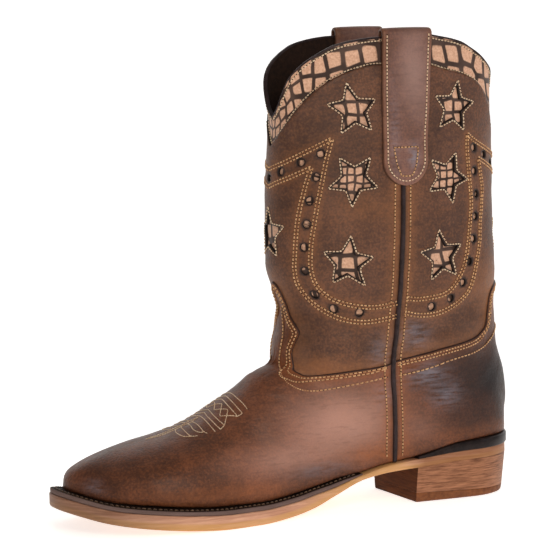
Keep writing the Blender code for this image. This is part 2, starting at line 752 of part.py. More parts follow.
def make_panel(panel):
    """Leather of the shaft between two depths of the upper's own form, with its stars cut through."""
    lateral, rays = panel_side(panel, -1)
    medial, medial_rays = panel_side(panel, 1)
    mirror = np.array((-1.0, 1.0))
    outline = np.concatenate([lateral, medial[-2:0:-1] * mirror])
    stars = panel_stars(panel)
    rays = rays + [ray * mirror for ray in medial_rays[1:]]
    closed_lines = [outline] + stars
    points, edges = [], []
    for number, line in enumerate(closed_lines + rays):
        first, last = len(points), len(points) + len(line) - 1
        points.extend(tuple(point) for point in line)
        edges.extend((k, k + 1) for k in range(first, last))
        if number < len(closed_lines):
            edges.append((last, first))
    flat, _, triangles, *_ = delaunay_2d_cdt(points, edges, [], 0, 1e-4)
    flat = np.array([tuple(point) for point in flat])
    triangles = np.array([tuple(triangle) for triangle in triangles])
    centres = flat[triangles].mean(axis=1)
    wanted = inside_polygon(centres, outline)
    for cut in stars:
        wanted &= ~inside_polygon(centres, cut)
    triangles = triangles[wanted]
    used, order = np.unique(triangles, return_inverse=True)
    arc, z = flat[used].T
    theta = panel_theta(panel, arc, z)
    outer = skin(theta, z, np.zeros(len(used)))
    inner = skin(theta, z, np.full(len(used), -PANEL_THICK))
    keep(f"shaft_{panel}_panel", *two_sided(order.reshape(-1, 3), outer, inner), "shaft_leather")


SIDES = (("lateral", -1), ("medial", 1))


def make_piping(name, side):
    """Rolled strip that covers the side seam from the welt to the foot of the strap."""
    low = feather_height(-seam_place(SEAM_ROWS[0][0])) + SEAT_GAP
    edge = seam_edge(side)
    over_edge, past_edge = edge + 2, edge + 9
    heights = np.concatenate([np.linspace(low, over_edge, 11), np.linspace(past_edge, PIPING_TOP, 12)])
    leather = np.where(heights < past_edge, edge_rise(np.maximum(edge - heights, 0)), -BACKING_DEPTH)
    seat = leather + 2 * SEAT_GAP
    across = np.array((-1.0, -0.72, 0.0, 0.72, 1.0))
    lift = np.array((0.0, 0.72, 1.0, 0.72, 0.0))
    places = seam_place(heights)[:, None] + across * PIPING_WIDTH / 2
    theta = theta_at_place(places, heights[:, None], side)
    heights = np.broadcast_to(heights[:, None], theta.shape)
    sections = skin(theta, heights, seat[:, None] + lift * PIPING_THICK)
    keep(name, *strip_solid(sections), "piping_leather")


def strap_rows(fold):
    """Route of a strap: height on the shaft, height over the fold, half width, turn over the collar."""
    rows = []
    for turn in np.radians((20.0, 40.0, 65.0, 90.0)):
        z = STRAP_END + STRAP_END_ROUND * (1 - math.cos(turn))
        rows.append((z, 0.0, STRAP_END_ROUND * math.sin(turn), 0.0))
    for z in np.linspace(STRAP_END + STRAP_END_ROUND + 9, fold, 7):
        rows.append((z, 0.0, float(strap_half(z)), 0.0))
    for turn in np.linspace(0, math.pi, 7)[1:-1]:
        rows.append((fold, math.sin(turn), float(strap_half(fold)), turn))
    for z in np.linspace(fold, STRAP_INSIDE_END, 5):
        rows.append((z, 0.0, float(strap_half(z)), math.pi))
    return rows


def make_strap(name, side):
    """Pull strap sewn outside and inside, folded over the collar."""
    fold = STRAP_FOLD + (MEDIAL_RISE if side > 0 else 0.0)
    outside = SEAT_GAP
    inside = -(LINING_DEPTH + SEAT_GAP)
    middle, radius = (outside + inside) / 2, (outside - inside) / 2
    across = np.array((-1.0, -0.6, -0.2, 0.2, 0.6, 1.0))
    z, lift, half, turn = (np.array(values)[:, None] for values in zip(*strap_rows(fold)))
    theta = theta_at_place(strap_middle(z) + across * half, z, side)
    z = np.broadcast_to(z, theta.shape)
    both_faces = []
    for thickness in (STRAP_THICK, 0.0):
        reach = radius + thickness
        points = skin(theta, z, np.broadcast_to(middle + reach * np.cos(turn), theta.shape))
        points[..., 2] += reach * lift
        both_faces.append(points)
    sections = [np.concatenate([outer, inner[::-1]]) for outer, inner in zip(*both_faces)]
    keep(name, *strip_solid(sections), "strap_leather")


# Finishes: colour, roughness
FINISHES = {
    "sole_leather": ((0.52, 0.29, 0.15), 0.55),
    "welt_leather": ((0.045, 0.026, 0.020), 0.50),
    "heel_leather": ((0.25, 0.115, 0.058), 0.50),
    "lift_rubber": ((0.17, 0.078, 0.042), 0.65),
    "vamp_leather": ((0.115, 0.055, 0.034), 0.45),
    "shaft_leather": ((0.125, 0.062, 0.040), 0.50),
    "strap_leather": ((0.120, 0.066, 0.048), 0.42),
    "piping_leather": ((0.022, 0.012, 0.009), 0.45),
    "lining_leather": ((0.030, 0.017, 0.012), 0.70),
}


def make_finish(name):
    colour, roughness = FINISHES[name]
    material = bpy.data.materials.new(name)
    material.use_nodes = True
    shader = material.node_tree.nodes["Principled BSDF"]
    shader.inputs["Base Color"].default_value = (*colour, 1.0)
    shader.inputs["Roughness"].default_value = roughness
    material.diffuse_color = (*colour, 1.0)
    return material


def add_objects():
    """One object for each piece, centred over the floor, in metres."""
    everything = np.concatenate([points for points, _, _ in PIECES.values()])
    low, high = everything.min(axis=0), everything.max(axis=0)
    centre = np.array([(low[0] + high[0]) / 2, (low[1] + high[1]) / 2, 0.0])
    finishes = {name: make_finish(name) for name in FINISHES}
    root = bpy.data.objects.new("western_boot", None)
    bpy.context.collection.objects.link(root)
    for name, (points, faces, finish) in PIECES.items():
        mesh = bpy.data.meshes.new(name)
        mesh.from_pydata([tuple(p) for p in (points - centre) * MM], [], faces)
        mesh.update()
        face_outward(mesh)
        mesh.materials.append(finishes[finish])
        mesh.shade_smooth()
        mesh.set_sharp_from_angle(angle=math.radians(40))
        piece = bpy.data.objects.new(name, mesh)
        bpy.context.collection.objects.link(piece)
        piece.parent = root


def face_outward(mesh):
    """Turn a closed mesh right side out."""
    volume = 0.0
    mesh.calc_loop_triangles()
    for triangle in mesh.loop_triangles:
        a, b, c = (mesh.vertices[i].co for i in triangle.vertices)
        volume += a.dot(b.cross(c))
    if volume < 0:
        mesh.flip_normals()


def main():
    for old in list(bpy.data.objects):
        bpy.data.objects.remove(old, do_unlink=True)
    make_outsole()
    edge_band("welt", WELT_START, SOLE_LENGTH, WELT_INSET, "welt_leather")
    edge_band("heel_rand", 0.0, HEEL_BREAST - SEAT_GAP, -RAND_PROUD, "welt_leather")
    make_heel()
    make_upper()
    make_insole()
    for panel in ("front", "back"):
        make_panel(panel)
    for name, side in SIDES:
        make_piping(f"side_piping_{name}", side)
        make_strap(f"pull_strap_{name}", side)
    add_objects()


main()
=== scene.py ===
"""Looks of a western boot for a left foot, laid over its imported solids.

Sizes are in millimetres in the last's own frame: x is 0 at the back of the sole and the toe lies along -x,
the outer side of the foot lies along -y, and the floor is z = 0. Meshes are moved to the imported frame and
turned to metres when they are made.
"""
import math

import bpy
import numpy as np
from mathutils import Matrix, Vector
from mathutils.geometry import delaunay_2d_cdt


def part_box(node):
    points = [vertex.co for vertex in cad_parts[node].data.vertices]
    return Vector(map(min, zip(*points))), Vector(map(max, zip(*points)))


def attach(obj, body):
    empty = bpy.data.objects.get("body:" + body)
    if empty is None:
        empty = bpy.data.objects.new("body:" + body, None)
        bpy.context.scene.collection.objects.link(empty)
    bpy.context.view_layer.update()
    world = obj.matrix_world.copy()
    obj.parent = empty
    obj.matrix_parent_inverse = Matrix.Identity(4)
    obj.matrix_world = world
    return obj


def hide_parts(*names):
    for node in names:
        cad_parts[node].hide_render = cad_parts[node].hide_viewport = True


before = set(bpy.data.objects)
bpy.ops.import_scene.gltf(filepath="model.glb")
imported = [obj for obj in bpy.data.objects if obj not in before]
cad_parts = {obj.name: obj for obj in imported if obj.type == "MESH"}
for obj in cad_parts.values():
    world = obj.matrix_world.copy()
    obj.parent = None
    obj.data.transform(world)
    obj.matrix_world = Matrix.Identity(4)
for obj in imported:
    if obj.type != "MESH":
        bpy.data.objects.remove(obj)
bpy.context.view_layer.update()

MM = 0.001
TAU = 2.0 * math.pi
SEAT_GAP = 0.3  # clearance between pieces that rest on each other
SIDES = (("lateral", -1), ("medial", 1))
PANELS = ("front", "back")

# Driving dimensions of the boot
SOLE_LENGTH = 283.5
FOOT_LENGTH = 275.6
HEEL_BREAST = 70.0  # from the back of the sole to the front face of the heel
WELT_START = 106.0  # from the back of the sole to the ends of the welt in the waist
HEEL_ROUND = 31.0  # length of the rounded back of the sole
TOE_ROUND = 52.0  # length of the rounded toe of the sole
TOE_POWER = 2.15  # 2 is an elliptical toe, more is squarer
LINING_DEPTH = 3.2  # inside of the wall, measured inward from the outer leather
BACKING_DEPTH = 1.8  # face of the backing that shows through the stars
EDGE_RISE = 1.0  # how far the vamp and counter edges stand above the shaft leather
EDGE_FADE = 14.0  # length over which that rise dies away below the edge
ANKLE_BLEND = 4.0  # size of the crease where the shaft meets the instep
SIDE_BLEND = 12.0  # how much softer that crease is at the sides of the ankle
SIDE_REACH = 24.0  # distance from the middle line at which it is softest
SIDE_START = 25.0  # length ahead of the heel breast over which it softens
SIDE_LOW = (28.0, 48.0)  # heights between which it softens, upwards
SIDE_HIGH = (65.0, 80.0)  # heights between which it tightens again
WELT_WIDTH = 15.0  # width of welt and rand, most of it under the upper
WELT_INSET = 0.6  # how far the welt's face lies inside the sole's edge
RAND_PROUD = 1.0  # how far the rand stands out past the sole's edge
TOP_LIFT_BACK = 3.7  # thickness of the worn lift at the back of the heel
TOP_LIFT_FRONT = 5.6  # and at the breast
HEEL_TAPER = 0.89  # width of the heel's foot against its top
HEEL_BACK_LEAN = 2.5
PIPING_WIDTH = 3.0
PIPING_THICK = 1.8
PIPING_TOP = 184.0
STRAP_THICK = 1.7
STRAP_END = 186.0  # lowest point of the strap outside
STRAP_INSIDE_END = 236.0
STRAP_FOLD = 272.4  # height at which the lateral strap turns over the collar
STRAP_END_ROUND = 14.0
STAR_RADIUS = 13.2
STAR_WAIST = 0.46  # inner radius of a star against its outer one
STAR_TIP_MOVE = 1.9  # how far a star's tips move out for 1 mm of margin round it
STAR_WAIST_MOVE = 1.15  # and its inner corners
HOLE_RADIUS = 2.1

# Sole: distance from the heel, half widths, and heights of its layers
SOLE_COLUMNS = ("from_heel", "lateral", "medial", "underside", "outsole", "welt", "margin")
SOLE_ROWS = (
    (0.0, 31.5, 31.0, 24.0, 5.3, 6.0, 2.0),
    (40.0, 32.0, 31.5, 23.0, 5.5, 5.2, 2.0),
    (70.0, 31.2, 29.8, 20.9, 5.1, 1.3, 2.0),
    (88.0, 31.2, 28.4, 19.7, 4.4, 0.0, 2.6),
    (105.0, 32.5, 28.0, 17.2, 3.2, 0.7, 3.2),
    (125.0, 34.8, 29.2, 9.8, 5.0, 3.0, 4.0),
    (140.0, 37.6, 31.4, 4.4, 7.6, 3.2, 4.6),
    (155.0, 41.2, 35.2, 1.6, 8.0, 3.3, 5.0),
    (175.0, 45.4, 41.0, 0.0, 8.2, 3.3, 5.3),
    (195.0, 48.6, 46.2, 0.0, 8.4, 3.2, 5.5),
    (215.0, 49.5, 48.5, 1.2, 8.5, 3.0, 5.6),
    (238.0, 46.6, 46.6, 3.6, 8.4, 3.0, 5.8),
    (260.0, 41.2, 41.6, 6.8, 7.9, 3.2, 6.0),
    (283.5, 35.0, 36.0, 13.4, 7.8, 3.7, 6.0),
)

# Leg of the boot: level sections, front and back on the centre line, half width and squareness
LEG_COLUMNS = ("height", "front", "back", "half_width", "power")
LEG_ROWS = (
    (20.0, -98.0, -3.5, 30.5, 2.15),
    (34.0, -102.0, -1.5, 31.5, 2.15),
    (45.0, -109.0, 0.6, 32.5, 2.15),
    (57.0, -120.0, 2.4, 33.0, 2.15),
    (72.0, -136.0, 1.0, 33.5, 2.15),
    (84.0, -144.0, -2.2, 34.0, 2.15),
    (92.0, -145.4, -3.9, 34.3, 2.15),
    (108.0, -142.0, -4.9, 35.0, 2.15),
    (116.0, -140.8, -5.2, 35.5, 2.15),
    (128.0, -144.4, -4.4, 36.5, 2.15),
    (143.0, -148.0, -4.2, 37.0, 2.15),
    (164.0, -147.8, -4.8, 37.0, 2.15),
    (206.0, -145.5, -4.5, 36.0, 2.15),
    (225.0, -145.0, -4.0, 35.2, 2.25),
    (245.0, -147.5, -3.6, 34.2, 2.50),
    (275.0, -151.0, -3.4, 33.0, 2.70),
)

# Foot of the boot: upright sections, height of the ridge and roundness of the arch
FOOT_COLUMNS = ("place", "ridge", "arch_power")
FOOT_ROWS = (
    (-277.0, 24.0, 2.50),
    (-274.0, 32.0, 2.50),
    (-267.0, 36.8, 2.50),
    (-252.0, 41.9, 2.50),
    (-232.0, 46.2, 2.50),
    (-213.0, 50.1, 2.35),
    (-199.0, 55.3, 2.25),
    (-188.0, 60.9, 2.15),
    (-177.0, 67.4, 2.10),
    (-168.0, 73.2, 2.10),
    (-157.0, 80.8, 2.10),
    (-140.0, 85.5, 2.10),
    (-40.0, 85.0, 2.10),
    (-14.0, 81.0, 2.10),
    (-4.0, 62.0, 2.10),
    (0.0, 42.0, 2.10),
)
FOOT_POWER = 2.3  # squareness of the foot's arch
TUCK_DEPTH = 0.05  # how much the upper draws in towards the welt
TUCK_HEIGHT = 0.22  # share of the arch's height over which it does
FEATHER_DROP = 1.0  # the arch starts this far below the upper's lower edge
FOOT_LEAST = 0.5  # least half width and height of the foot's form, so that it has no point
FOOT_STEEP = 10.0  # least slope scale of the foot's form, so that its thin end can't swell the counter

# Upper edge of vamp and counter: arc from the front line, height
EDGE_COLUMNS = ("arc", "vamp_edge")
EDGE_ROWS = (
    (0.0, 132.0), (5.0, 129.0), (9.0, 121.0), (13.5, 111.5), (17.0, 104.0), (20.0, 86.0),
    (25.0, 81.0), (37.0, 78.5), (49.0, 79.2), (61.0, 80.8), (82.0, 84.0), (105.0, 88.0),
    (125.0, 91.8), (138.0, 95.5), (147.0, 102.5), (156.0, 110.0), (176.0, 115.8),
)
EDGE_RING = 100.0  # height of the ring along which these arcs are measured

# Shaped top of the shaft leather and of the collar: arc from the front line, heights
TOP_COLUMNS = ("arc", "panel_top", "collar")
TOP_ROWS = (
    (0.0, 210.0, 227.0),
    (6.5, 215.5, 232.0),
    (13.0, 222.0, 239.8),
    (20.0, 229.5, 249.2),
    (28.0, 236.8, 256.2),
    (37.5, 244.0, 262.2),
    (47.0, 249.2, 266.8),
    (57.0, 252.8, 269.2),
    (70.5, 255.4, 270.8),
    (104.0, 254.2, 271.8),
    (112.0, 251.8, 270.6),
    (124.5, 248.8, 267.6),
    (134.5, 244.6, 262.4),
    (142.0, 238.4, 258.2),
    (148.0, 230.8, 254.4),
    (155.0, 220.0, 250.0),
    (161.0, 213.0, 244.4),
    (172.0, 208.0, 231.0),
)
TOP_RING = 240.0  # height of the ring along which these arcs are measured
MEDIAL_RISE = 1.2  # the collar is this much higher on the inner side of the leg

# Side seam and pull strap: their place along the boot at each height
SEAM_COLUMNS = ("height", "place")
SEAM_ROWS = (
    (20.0, -83.0), (53.0, -84.0), (83.0, -86.0), (101.0, -84.0), (121.0, -82.0), (187.0, -78.5),
    (272.0, -75.0),
)
STRAP_COLUMNS = ("height", "middle", "half_width")
STRAP_ROWS = ((186.0, -77.0, 14.0), (205.0, -76.8, 14.0), (240.0, -75.0, 15.2), (272.0, -73.0, 16.0))

# Cut-outs of the shaft leather: panel, arc from its middle line, height, turn in degrees
STAR_ROWS = (
    ("front", 0.0, 160.0, 0.0),
    ("front", 54.7, 230.2, 4.0),
    ("front", 54.5, 190.6, 179.0),
    ("front", 51.5, 143.4, -8.0),
    ("back", 0.0, 157.0, 0.0),
    ("back", 55.0, 229.6, 8.0),
    ("back", 60.6, 189.4, 169.0),
    ("back", 66.4, 144.0, -6.0),
)

# Punched holes of each panel: arc from its middle line, height
HOLES = {
    "front": (
        (0, 192), (10.9, 195.8), (23.5, 201.2), (34.9, 206), (32.7, 192.7), (29.6, 179.3), (28.1, 166),
        (26.5, 152.9), (26.3, 139.1), (27.8, 125.2), (36.3, 116.8), (51.2, 114.2),
    ),
    "back": (
        (8, 191), (18.5, 195.5), (28, 201), (38.5, 205.5), (39, 192), (38, 178.5), (39, 165.5),
        (41.5, 152.5), (45.5, 139.5), (50.5, 127.5), (59, 119), (72, 115),
    ),
}

# Double rows of the horseshoe band on each panel: arc from its middle line, height
BAND_LINES = {
    "front": (
        (
            (41.2, 214), (38.4, 203), (36.6, 191.5), (34.1, 176), (32.5, 165), (30.8, 155), (30.1, 141),
            (31, 130), (36, 123.5), (43, 119.8), (54, 117.4), (63, 117.2), (75, 118.8),
        ),
        (
            (29.9, 198.2), (27, 188), (24.4, 176), (22.8, 166.5), (21.4, 153), (20.2, 138), (20.2, 130),
            (25.2, 120.2), (33.7, 114), (41.8, 110.7), (51.5, 108.8), (61, 109), (75, 111.2),
        ),
        ((41, 214), (22.8, 205.3), (12.6, 200.8), (0, 196.8)),
        ((29.8, 198), (17.2, 192.6), (0, 186.8)),
    ),
    "back": (
        (
            (89, 121), (81, 120), (73, 120.5), (64, 122), (57.5, 126), (51, 135.5), (48, 145), (45.5, 156),
            (43.5, 168.5), (43.5, 181), (45, 200), (44.5, 213.5),
        ),
        (
            (90, 113), (81.5, 110.8), (69, 110.8), (57, 114.5), (47, 120), (43, 128), (39.5, 140),
            (36, 152), (34, 168), (32, 180.5), (33.5, 189.5), (35, 199),
        ),
        ((44.6, 213.5), (34.7, 208), (18.5, 202), (0, 197)),
        ((35, 199), (17, 192), (0, 187)),
    ),
}
DOUBLE_ROW = 0.95  # half the distance between the two rows of a double seam
MEDIAL_ROW_SHIFT = 4.0  # the third row lies this much further round on the inner side, out of sight

# Cut edge of the tongue and vamp, and the row of stitches below it: arc from the front line, height
VAMP_CUT = (
    (0, 132), (3, 130.5), (6, 126.5), (6.8, 121.7), (7.4, 116.8), (10, 112.2), (14.3, 107.7), (17.2, 104),
    (17.3, 102), (16.5, 98.3), (15.6, 94.7), (15, 90.9), (15.8, 86.9), (19.1, 83.3), (24, 81.2), (29.2, 80),
    (34.9, 78.7), (39.2, 78.4), (49, 79.2), (61, 80.8), (74, 82.7),
)
VAMP_ROW = (
    (0, 119), (2, 112.5), (4.6, 106), (6.3, 101.5), (6.8, 97.5), (6.5, 93), (6.2, 88), (8.6, 84.4),
    (19.3, 79.8), (32.1, 74.7), (43.6, 71.4), (53.6, 70.1), (62.5, 70.6), (74, 72.6), (85, 75), (94, 77),
)

# The same for the counter: arc from the back line, height
COUNTER_CUT = (
    (96, 85), (87.4, 86.6), (77.2, 88.1), (65.1, 89.9), (50.6, 92.1), (39.8, 94), (34.6, 96.4), (30.5, 100),
    (28.2, 104), (26, 110), (24.5, 116), (21, 121), (12, 124.5), (0, 126),
)
COUNTER_ROW = (
    (100, 75.9), (92, 77), (80.8, 78.7), (71.1, 80.4), (63.9, 82), (55, 83.5), (41.2, 85.6),
    (30.3, 88.4), (20.7, 92.9), (13, 96.8), (6, 99.2), (0, 100),
)

# Creases of the leather: two ends on the surface, width, depth (below zero is a ridge)
CREASES = (
    ((-137, -16, 107), (-130, -22.5, 84), 5.0, 2.0),
    ((-118, -28, 101), (-100, -32.5, 87), 6.5, -1.1),
    ((-128, -24, 128), (-112, -31, 108), 6.0, 0.5),
    ((-112, -31, 92), (-92, -34, 104), 3.5, 0.6),
    ((-80, -35, 104), (-42, -31, 99), 3.6, 0.8),
    ((-80, -35, 98), (-44, -32, 94), 3.6, -0.7),
    ((-78, -34, 91), (-52, -33, 91), 3.0, 0.6),
    ((-40, -31, 118), (-16, -22, 106), 5.0, 0.8),
    ((-36, -30, 106), (-14, -20, 98), 4.0, -0.5),
    ((-124, -28, 176), (-86, -37, 174), 1.8, 0.28),
    ((-120, -29, 169), (-84, -37, 171), 1.6, 0.24),
    ((-122, -28, 181), (-96, -35, 180), 1.6, 0.20),
    ((-70, -37, 172), (-40, -32, 170), 1.7, 0.22),
    ((-160, -20, 75), (-148, -24, 72), 2.0, 0.45),
    ((-165, -22, 70), (-150, -26, 67), 2.2, 0.40),
    ((-158, 2, 81), (-156, 18, 76), 2.4, 0.40),
    ((-146, -20, 85), (-147, 20, 85), 3.0, 0.8),
    ((-134, 18, 110), (-126, 26, 86), 5.5, 1.1),
    ((-118, 29, 104), (-102, 32, 86), 6.0, -0.6),
    ((-110, 32, 94), (-88, 34, 102), 3.5, 0.6),
    ((-78, 35, 103), (-40, 31, 100), 3.8, 0.8),
    ((-78, 35, 97), (-42, 32, 94), 3.4, -0.6),
    ((-38, 31, 116), (-14, 21, 107), 5.0, 0.8),
    ((-120, 29, 174), (-84, 37, 176), 1.8, 0.26),
    ((-160, 20, 74), (-147, 24, 71), 2.0, 0.45),
)

CREASE_END = 0.15  # share of a crease's depth that is left at its ends

# Waves of the worn leather: length, direction, height
WAVES = (
    (41.0, (0.8, 0.3, 0.5), 0.22),
    (29.0, (-0.5, 0.6, 0.7), 0.16),
    (19.0, (0.6, -0.5, 0.6), 0.10),
    (13.0, (0.2, 0.7, -0.7), 0.06),
)
WAVE_WANDER = (0.37, 1.7)  # pace and size of a wander that keeps the waves from being even


def column(rows, names, wanted):
    """Monotone cubic through one column of a table, against the table's first column."""
    table = np.array(rows, float)
    xs = table[:, 0]
    ys = table[:, names.index(wanted)]
    step = np.diff(xs)
    slope = np.diff(ys) / step
    tangent = np.empty_like(ys)
    tangent[0] = slope[0]
    tangent[-1] = slope[-1]
    for k in range(1, len(xs) - 1):
        before, after = slope[k - 1], slope[k]
        wide, narrow = 2 * step[k] + step[k - 1], step[k] + 2 * step[k - 1]
        same_way = before * after > 0
        tangent[k] = (wide + narrow) / (wide / before + narrow / after) if same_way else 0.0

    def value(x):
        x = np.clip(x, xs[0], xs[-1])
        k = np.clip(np.searchsorted(xs, x) - 1, 0, len(step) - 1)
        t = (x - xs[k]) / step[k]
        rise = t * t * (3 - 2 * t)
        bend = step[k] * t * (1 - t) * (tangent[k] * (1 - t) - tangent[k + 1] * t)
        return ys[k] * (1 - rise) + ys[k + 1] * rise + bend

    return value


sole_lateral = column(SOLE_ROWS, SOLE_COLUMNS, "lateral")
sole_medial = column(SOLE_ROWS, SOLE_COLUMNS, "medial")
sole_underside = column(SOLE_ROWS, SOLE_COLUMNS, "underside")
outsole_thick = column(SOLE_ROWS, SOLE_COLUMNS, "outsole")
welt_thick = column(SOLE_ROWS, SOLE_COLUMNS, "welt")
upper_margin = column(SOLE_ROWS, SOLE_COLUMNS, "margin")
leg_front = column(LEG_ROWS, LEG_COLUMNS, "front")
leg_back = column(LEG_ROWS, LEG_COLUMNS, "back")
leg_half = column(LEG_ROWS, LEG_COLUMNS, "half_width")
leg_power = column(LEG_ROWS, LEG_COLUMNS, "power")
foot_ridge = column(FOOT_ROWS, FOOT_COLUMNS, "ridge")
foot_arch = column(FOOT_ROWS, FOOT_COLUMNS, "arch_power")
vamp_edge = column(EDGE_ROWS, EDGE_COLUMNS, "vamp_edge")
panel_top = column(TOP_ROWS, TOP_COLUMNS, "panel_top")
collar_height = column(TOP_ROWS, TOP_COLUMNS, "collar")
seam_place = column(SEAM_ROWS, SEAM_COLUMNS, "place")
strap_middle = column(STRAP_ROWS, STRAP_COLUMNS, "middle")
strap_half = column(STRAP_ROWS, STRAP_COLUMNS, "half_width")


# Shape of the last, the same as that of the solids

def round_ends(from_heel, length, heel_round, toe_round):
    """Factor that closes a half width at the heel and the toe."""
    heel = np.clip((heel_round - from_heel) / heel_round, 0, 1)
    toe = np.clip((from_heel - (length - toe_round)) / toe_round, 0, 1)
    return np.sqrt(1 - heel**2) * (1 - toe**TOE_POWER) ** (1 / TOE_POWER)


def sole_half(from_heel, side):
    """Half width of the sole on one side of the foot."""
    body = sole_lateral(from_heel) if side < 0 else sole_medial(from_heel)
    return body * round_ends(from_heel, SOLE_LENGTH, HEEL_ROUND, TOE_ROUND)


def outsole_top(from_heel):
    """Height of the outsole's upper face."""
    return sole_underside(from_heel) + outsole_thick(from_heel)


def welt_top(from_heel):
    """Height of the upper face of welt and rand."""
    return outsole_top(from_heel) + SEAT_GAP + welt_thick(from_heel)


def feather_height(from_heel):
    """Height of the upper's lower edge, just above welt and rand."""
    return welt_top(from_heel) + SEAT_GAP


def foot_half(x, side):
    """Half width of the upper where it meets the sole."""
    from_heel = np.clip(-x / FOOT_LENGTH, 0, 1) * SOLE_LENGTH
    body = sole_lateral(from_heel) if side < 0 else sole_medial(from_heel)
    return (body - upper_margin(from_heel)) * round_ends(-x, FOOT_LENGTH, HEEL_ROUND, TOE_ROUND)


def foot_field(x, y, z):
    """Below zero inside the arch of the foot, about a distance outside it."""
    half = np.maximum(np.where(y < 0, foot_half(x, -1), foot_half(x, 1)), FOOT_LEAST)
    base = feather_height(-x) - FEATHER_DROP
    rise = np.maximum(foot_ridge(x) - base, FOOT_LEAST)
    level = np.clip((z - base) / rise, 0, 2)
    tuck = 1 - TUCK_DEPTH * np.clip(1 - level / TUCK_HEIGHT, 0, 1) ** 2
    reach = (np.abs(y) / (half * tuck)) ** FOOT_POWER + level ** foot_arch(x)
    return (reach ** (1 / FOOT_POWER) - 1) * np.maximum(np.minimum(half, rise), FOOT_STEEP)


def leg_field(x, y, z):
    """Below zero inside the leg of the boot, about a distance outside it."""
    front, back = leg_front(z), leg_back(z)
    along = np.abs((x - (front + back) / 2) / ((back - front) / 2))
    across = np.abs(y / leg_half(z))
    power = leg_power(z)
    reach = (along**power + across**power) ** (1 / power)
    return (reach - 1) * leg_half(z)


def blend_size(x, y, z):
    """Crease that is tight over the instep and dies away into the sides of the ankle."""
    aside = np.clip(np.abs(y) / SIDE_REACH, 0, 1)
    ahead = np.clip((-HEEL_BREAST - x) / SIDE_START, 0, 1)
    mid_height = np.interp(z, (*SIDE_LOW, *SIDE_HIGH), (0.0, 1.0, 1.0, 0.0))
    return ANKLE_BLEND + SIDE_BLEND * aside * ahead * mid_height


FAR_OUTSIDE = 50.0  # value of the foot's form ahead of the toe and behind the heel


def upper_field(x, y, z):
    """Foot and leg joined by a soft crease."""
    on_foot = (x > -FOOT_LENGTH) & (x < 0)
    foot = np.where(on_foot, foot_field(np.clip(x, -FOOT_LENGTH, 0), y, z), FAR_OUTSIDE)
    leg = leg_field(x, y, z)
    blend = blend_size(x, y, z)
    share = np.clip(0.5 + 0.5 * (leg - foot) / blend, 0, 1)
    return leg * (1 - share) + foot * share - blend * share * (1 - share)


def centre_line_extents():
    """Front and back of the upper on the centre line at each height."""
    heights = np.arange(8.0, 290.0, 1.0)
    places = np.arange(-SOLE_LENGTH, 8.0, 0.5)
    xs, zs = np.meshgrid(places, heights)
    inside = upper_field(xs, 0 * xs, zs) < 0
    front = places[inside.argmax(axis=1)]
    back = places[len(places) - 1 - inside[:, ::-1].argmax(axis=1)]
    return heights, front, back


HEIGHTS, FRONTS, BACKS = centre_line_extents()
RAY_ROUND = 30.0  # rays fan out over this radius at the toe and the heel
RAY_LENGTH = 90.0
HALVINGS = 22  # steps of the search for the leather along a ray


def surface(theta, z):
    """Outer leather in the level section at height z; theta is 0 at the heel, pi at the toe."""
    theta, z = np.broadcast_arrays(np.asarray(theta, float), np.asarray(z, float))
    front, back = np.interp(z, HEIGHTS, FRONTS), np.interp(z, HEIGHTS, BACKS)
    along, across = np.cos(theta), -np.sin(theta)
    start = (front + back) / 2 + np.maximum((back - front) / 2 - RAY_ROUND, 0) * along
    near, far = np.zeros_like(start), np.full_like(start, RAY_LENGTH)
    for _ in range(HALVINGS):
        middle = (near + far) / 2
        inside = upper_field(start + along * middle, across * middle, z) < 0
        near, far = np.where(inside, middle, near), np.where(inside, far, middle)
    return np.stack([start + along * near, across * near, z], axis=-1)


def outward(points):
    """Unit normals of the upper at points on it."""
    probe = 0.4
    slopes = []
    for axis in np.eye(3) * probe:
        ahead, behind = points + axis, points - axis
        slopes.append(upper_field(*np.moveaxis(ahead, -1, 0)) - upper_field(*np.moveaxis(behind, -1, 0)))
    normal = np.stack(slopes, axis=-1)
    return normal / np.linalg.norm(normal, axis=-1, keepdims=True)


def crumple(points):
    """How far creases and waves lift the leather at points on it."""
    lift = np.zeros(points.shape[:-1])
    for start, end, width, depth in CREASES:
        start, end = np.array(start, float), np.array(end, float)
        along = end - start
        share = np.clip(((points - start) @ along) / (along @ along), 0, 1)
        away = np.linalg.norm(points - (start + share[..., None] * along), axis=-1)
        fade = np.clip(4 * share * (1 - share) + CREASE_END, 0, 1)
        lift -= depth * fade * np.exp(-((away / width) ** 2))
    pace, wander = WAVE_WANDER
    for length, direction, height in WAVES:
        phase = points @ np.array(direction) * TAU / length
        lift += height * np.sin(phase + np.sin(phase * pace) * wander)
    return lift


def skin(theta, z, offset):
    """Point and normal at a distance outside (or, below zero, inside) the worn outer leather."""
    points = surface(theta, z)
    normals = outward(points)
    lift = crumple(points) + np.asarray(offset, float)
    return points + normals * lift[..., None], normals


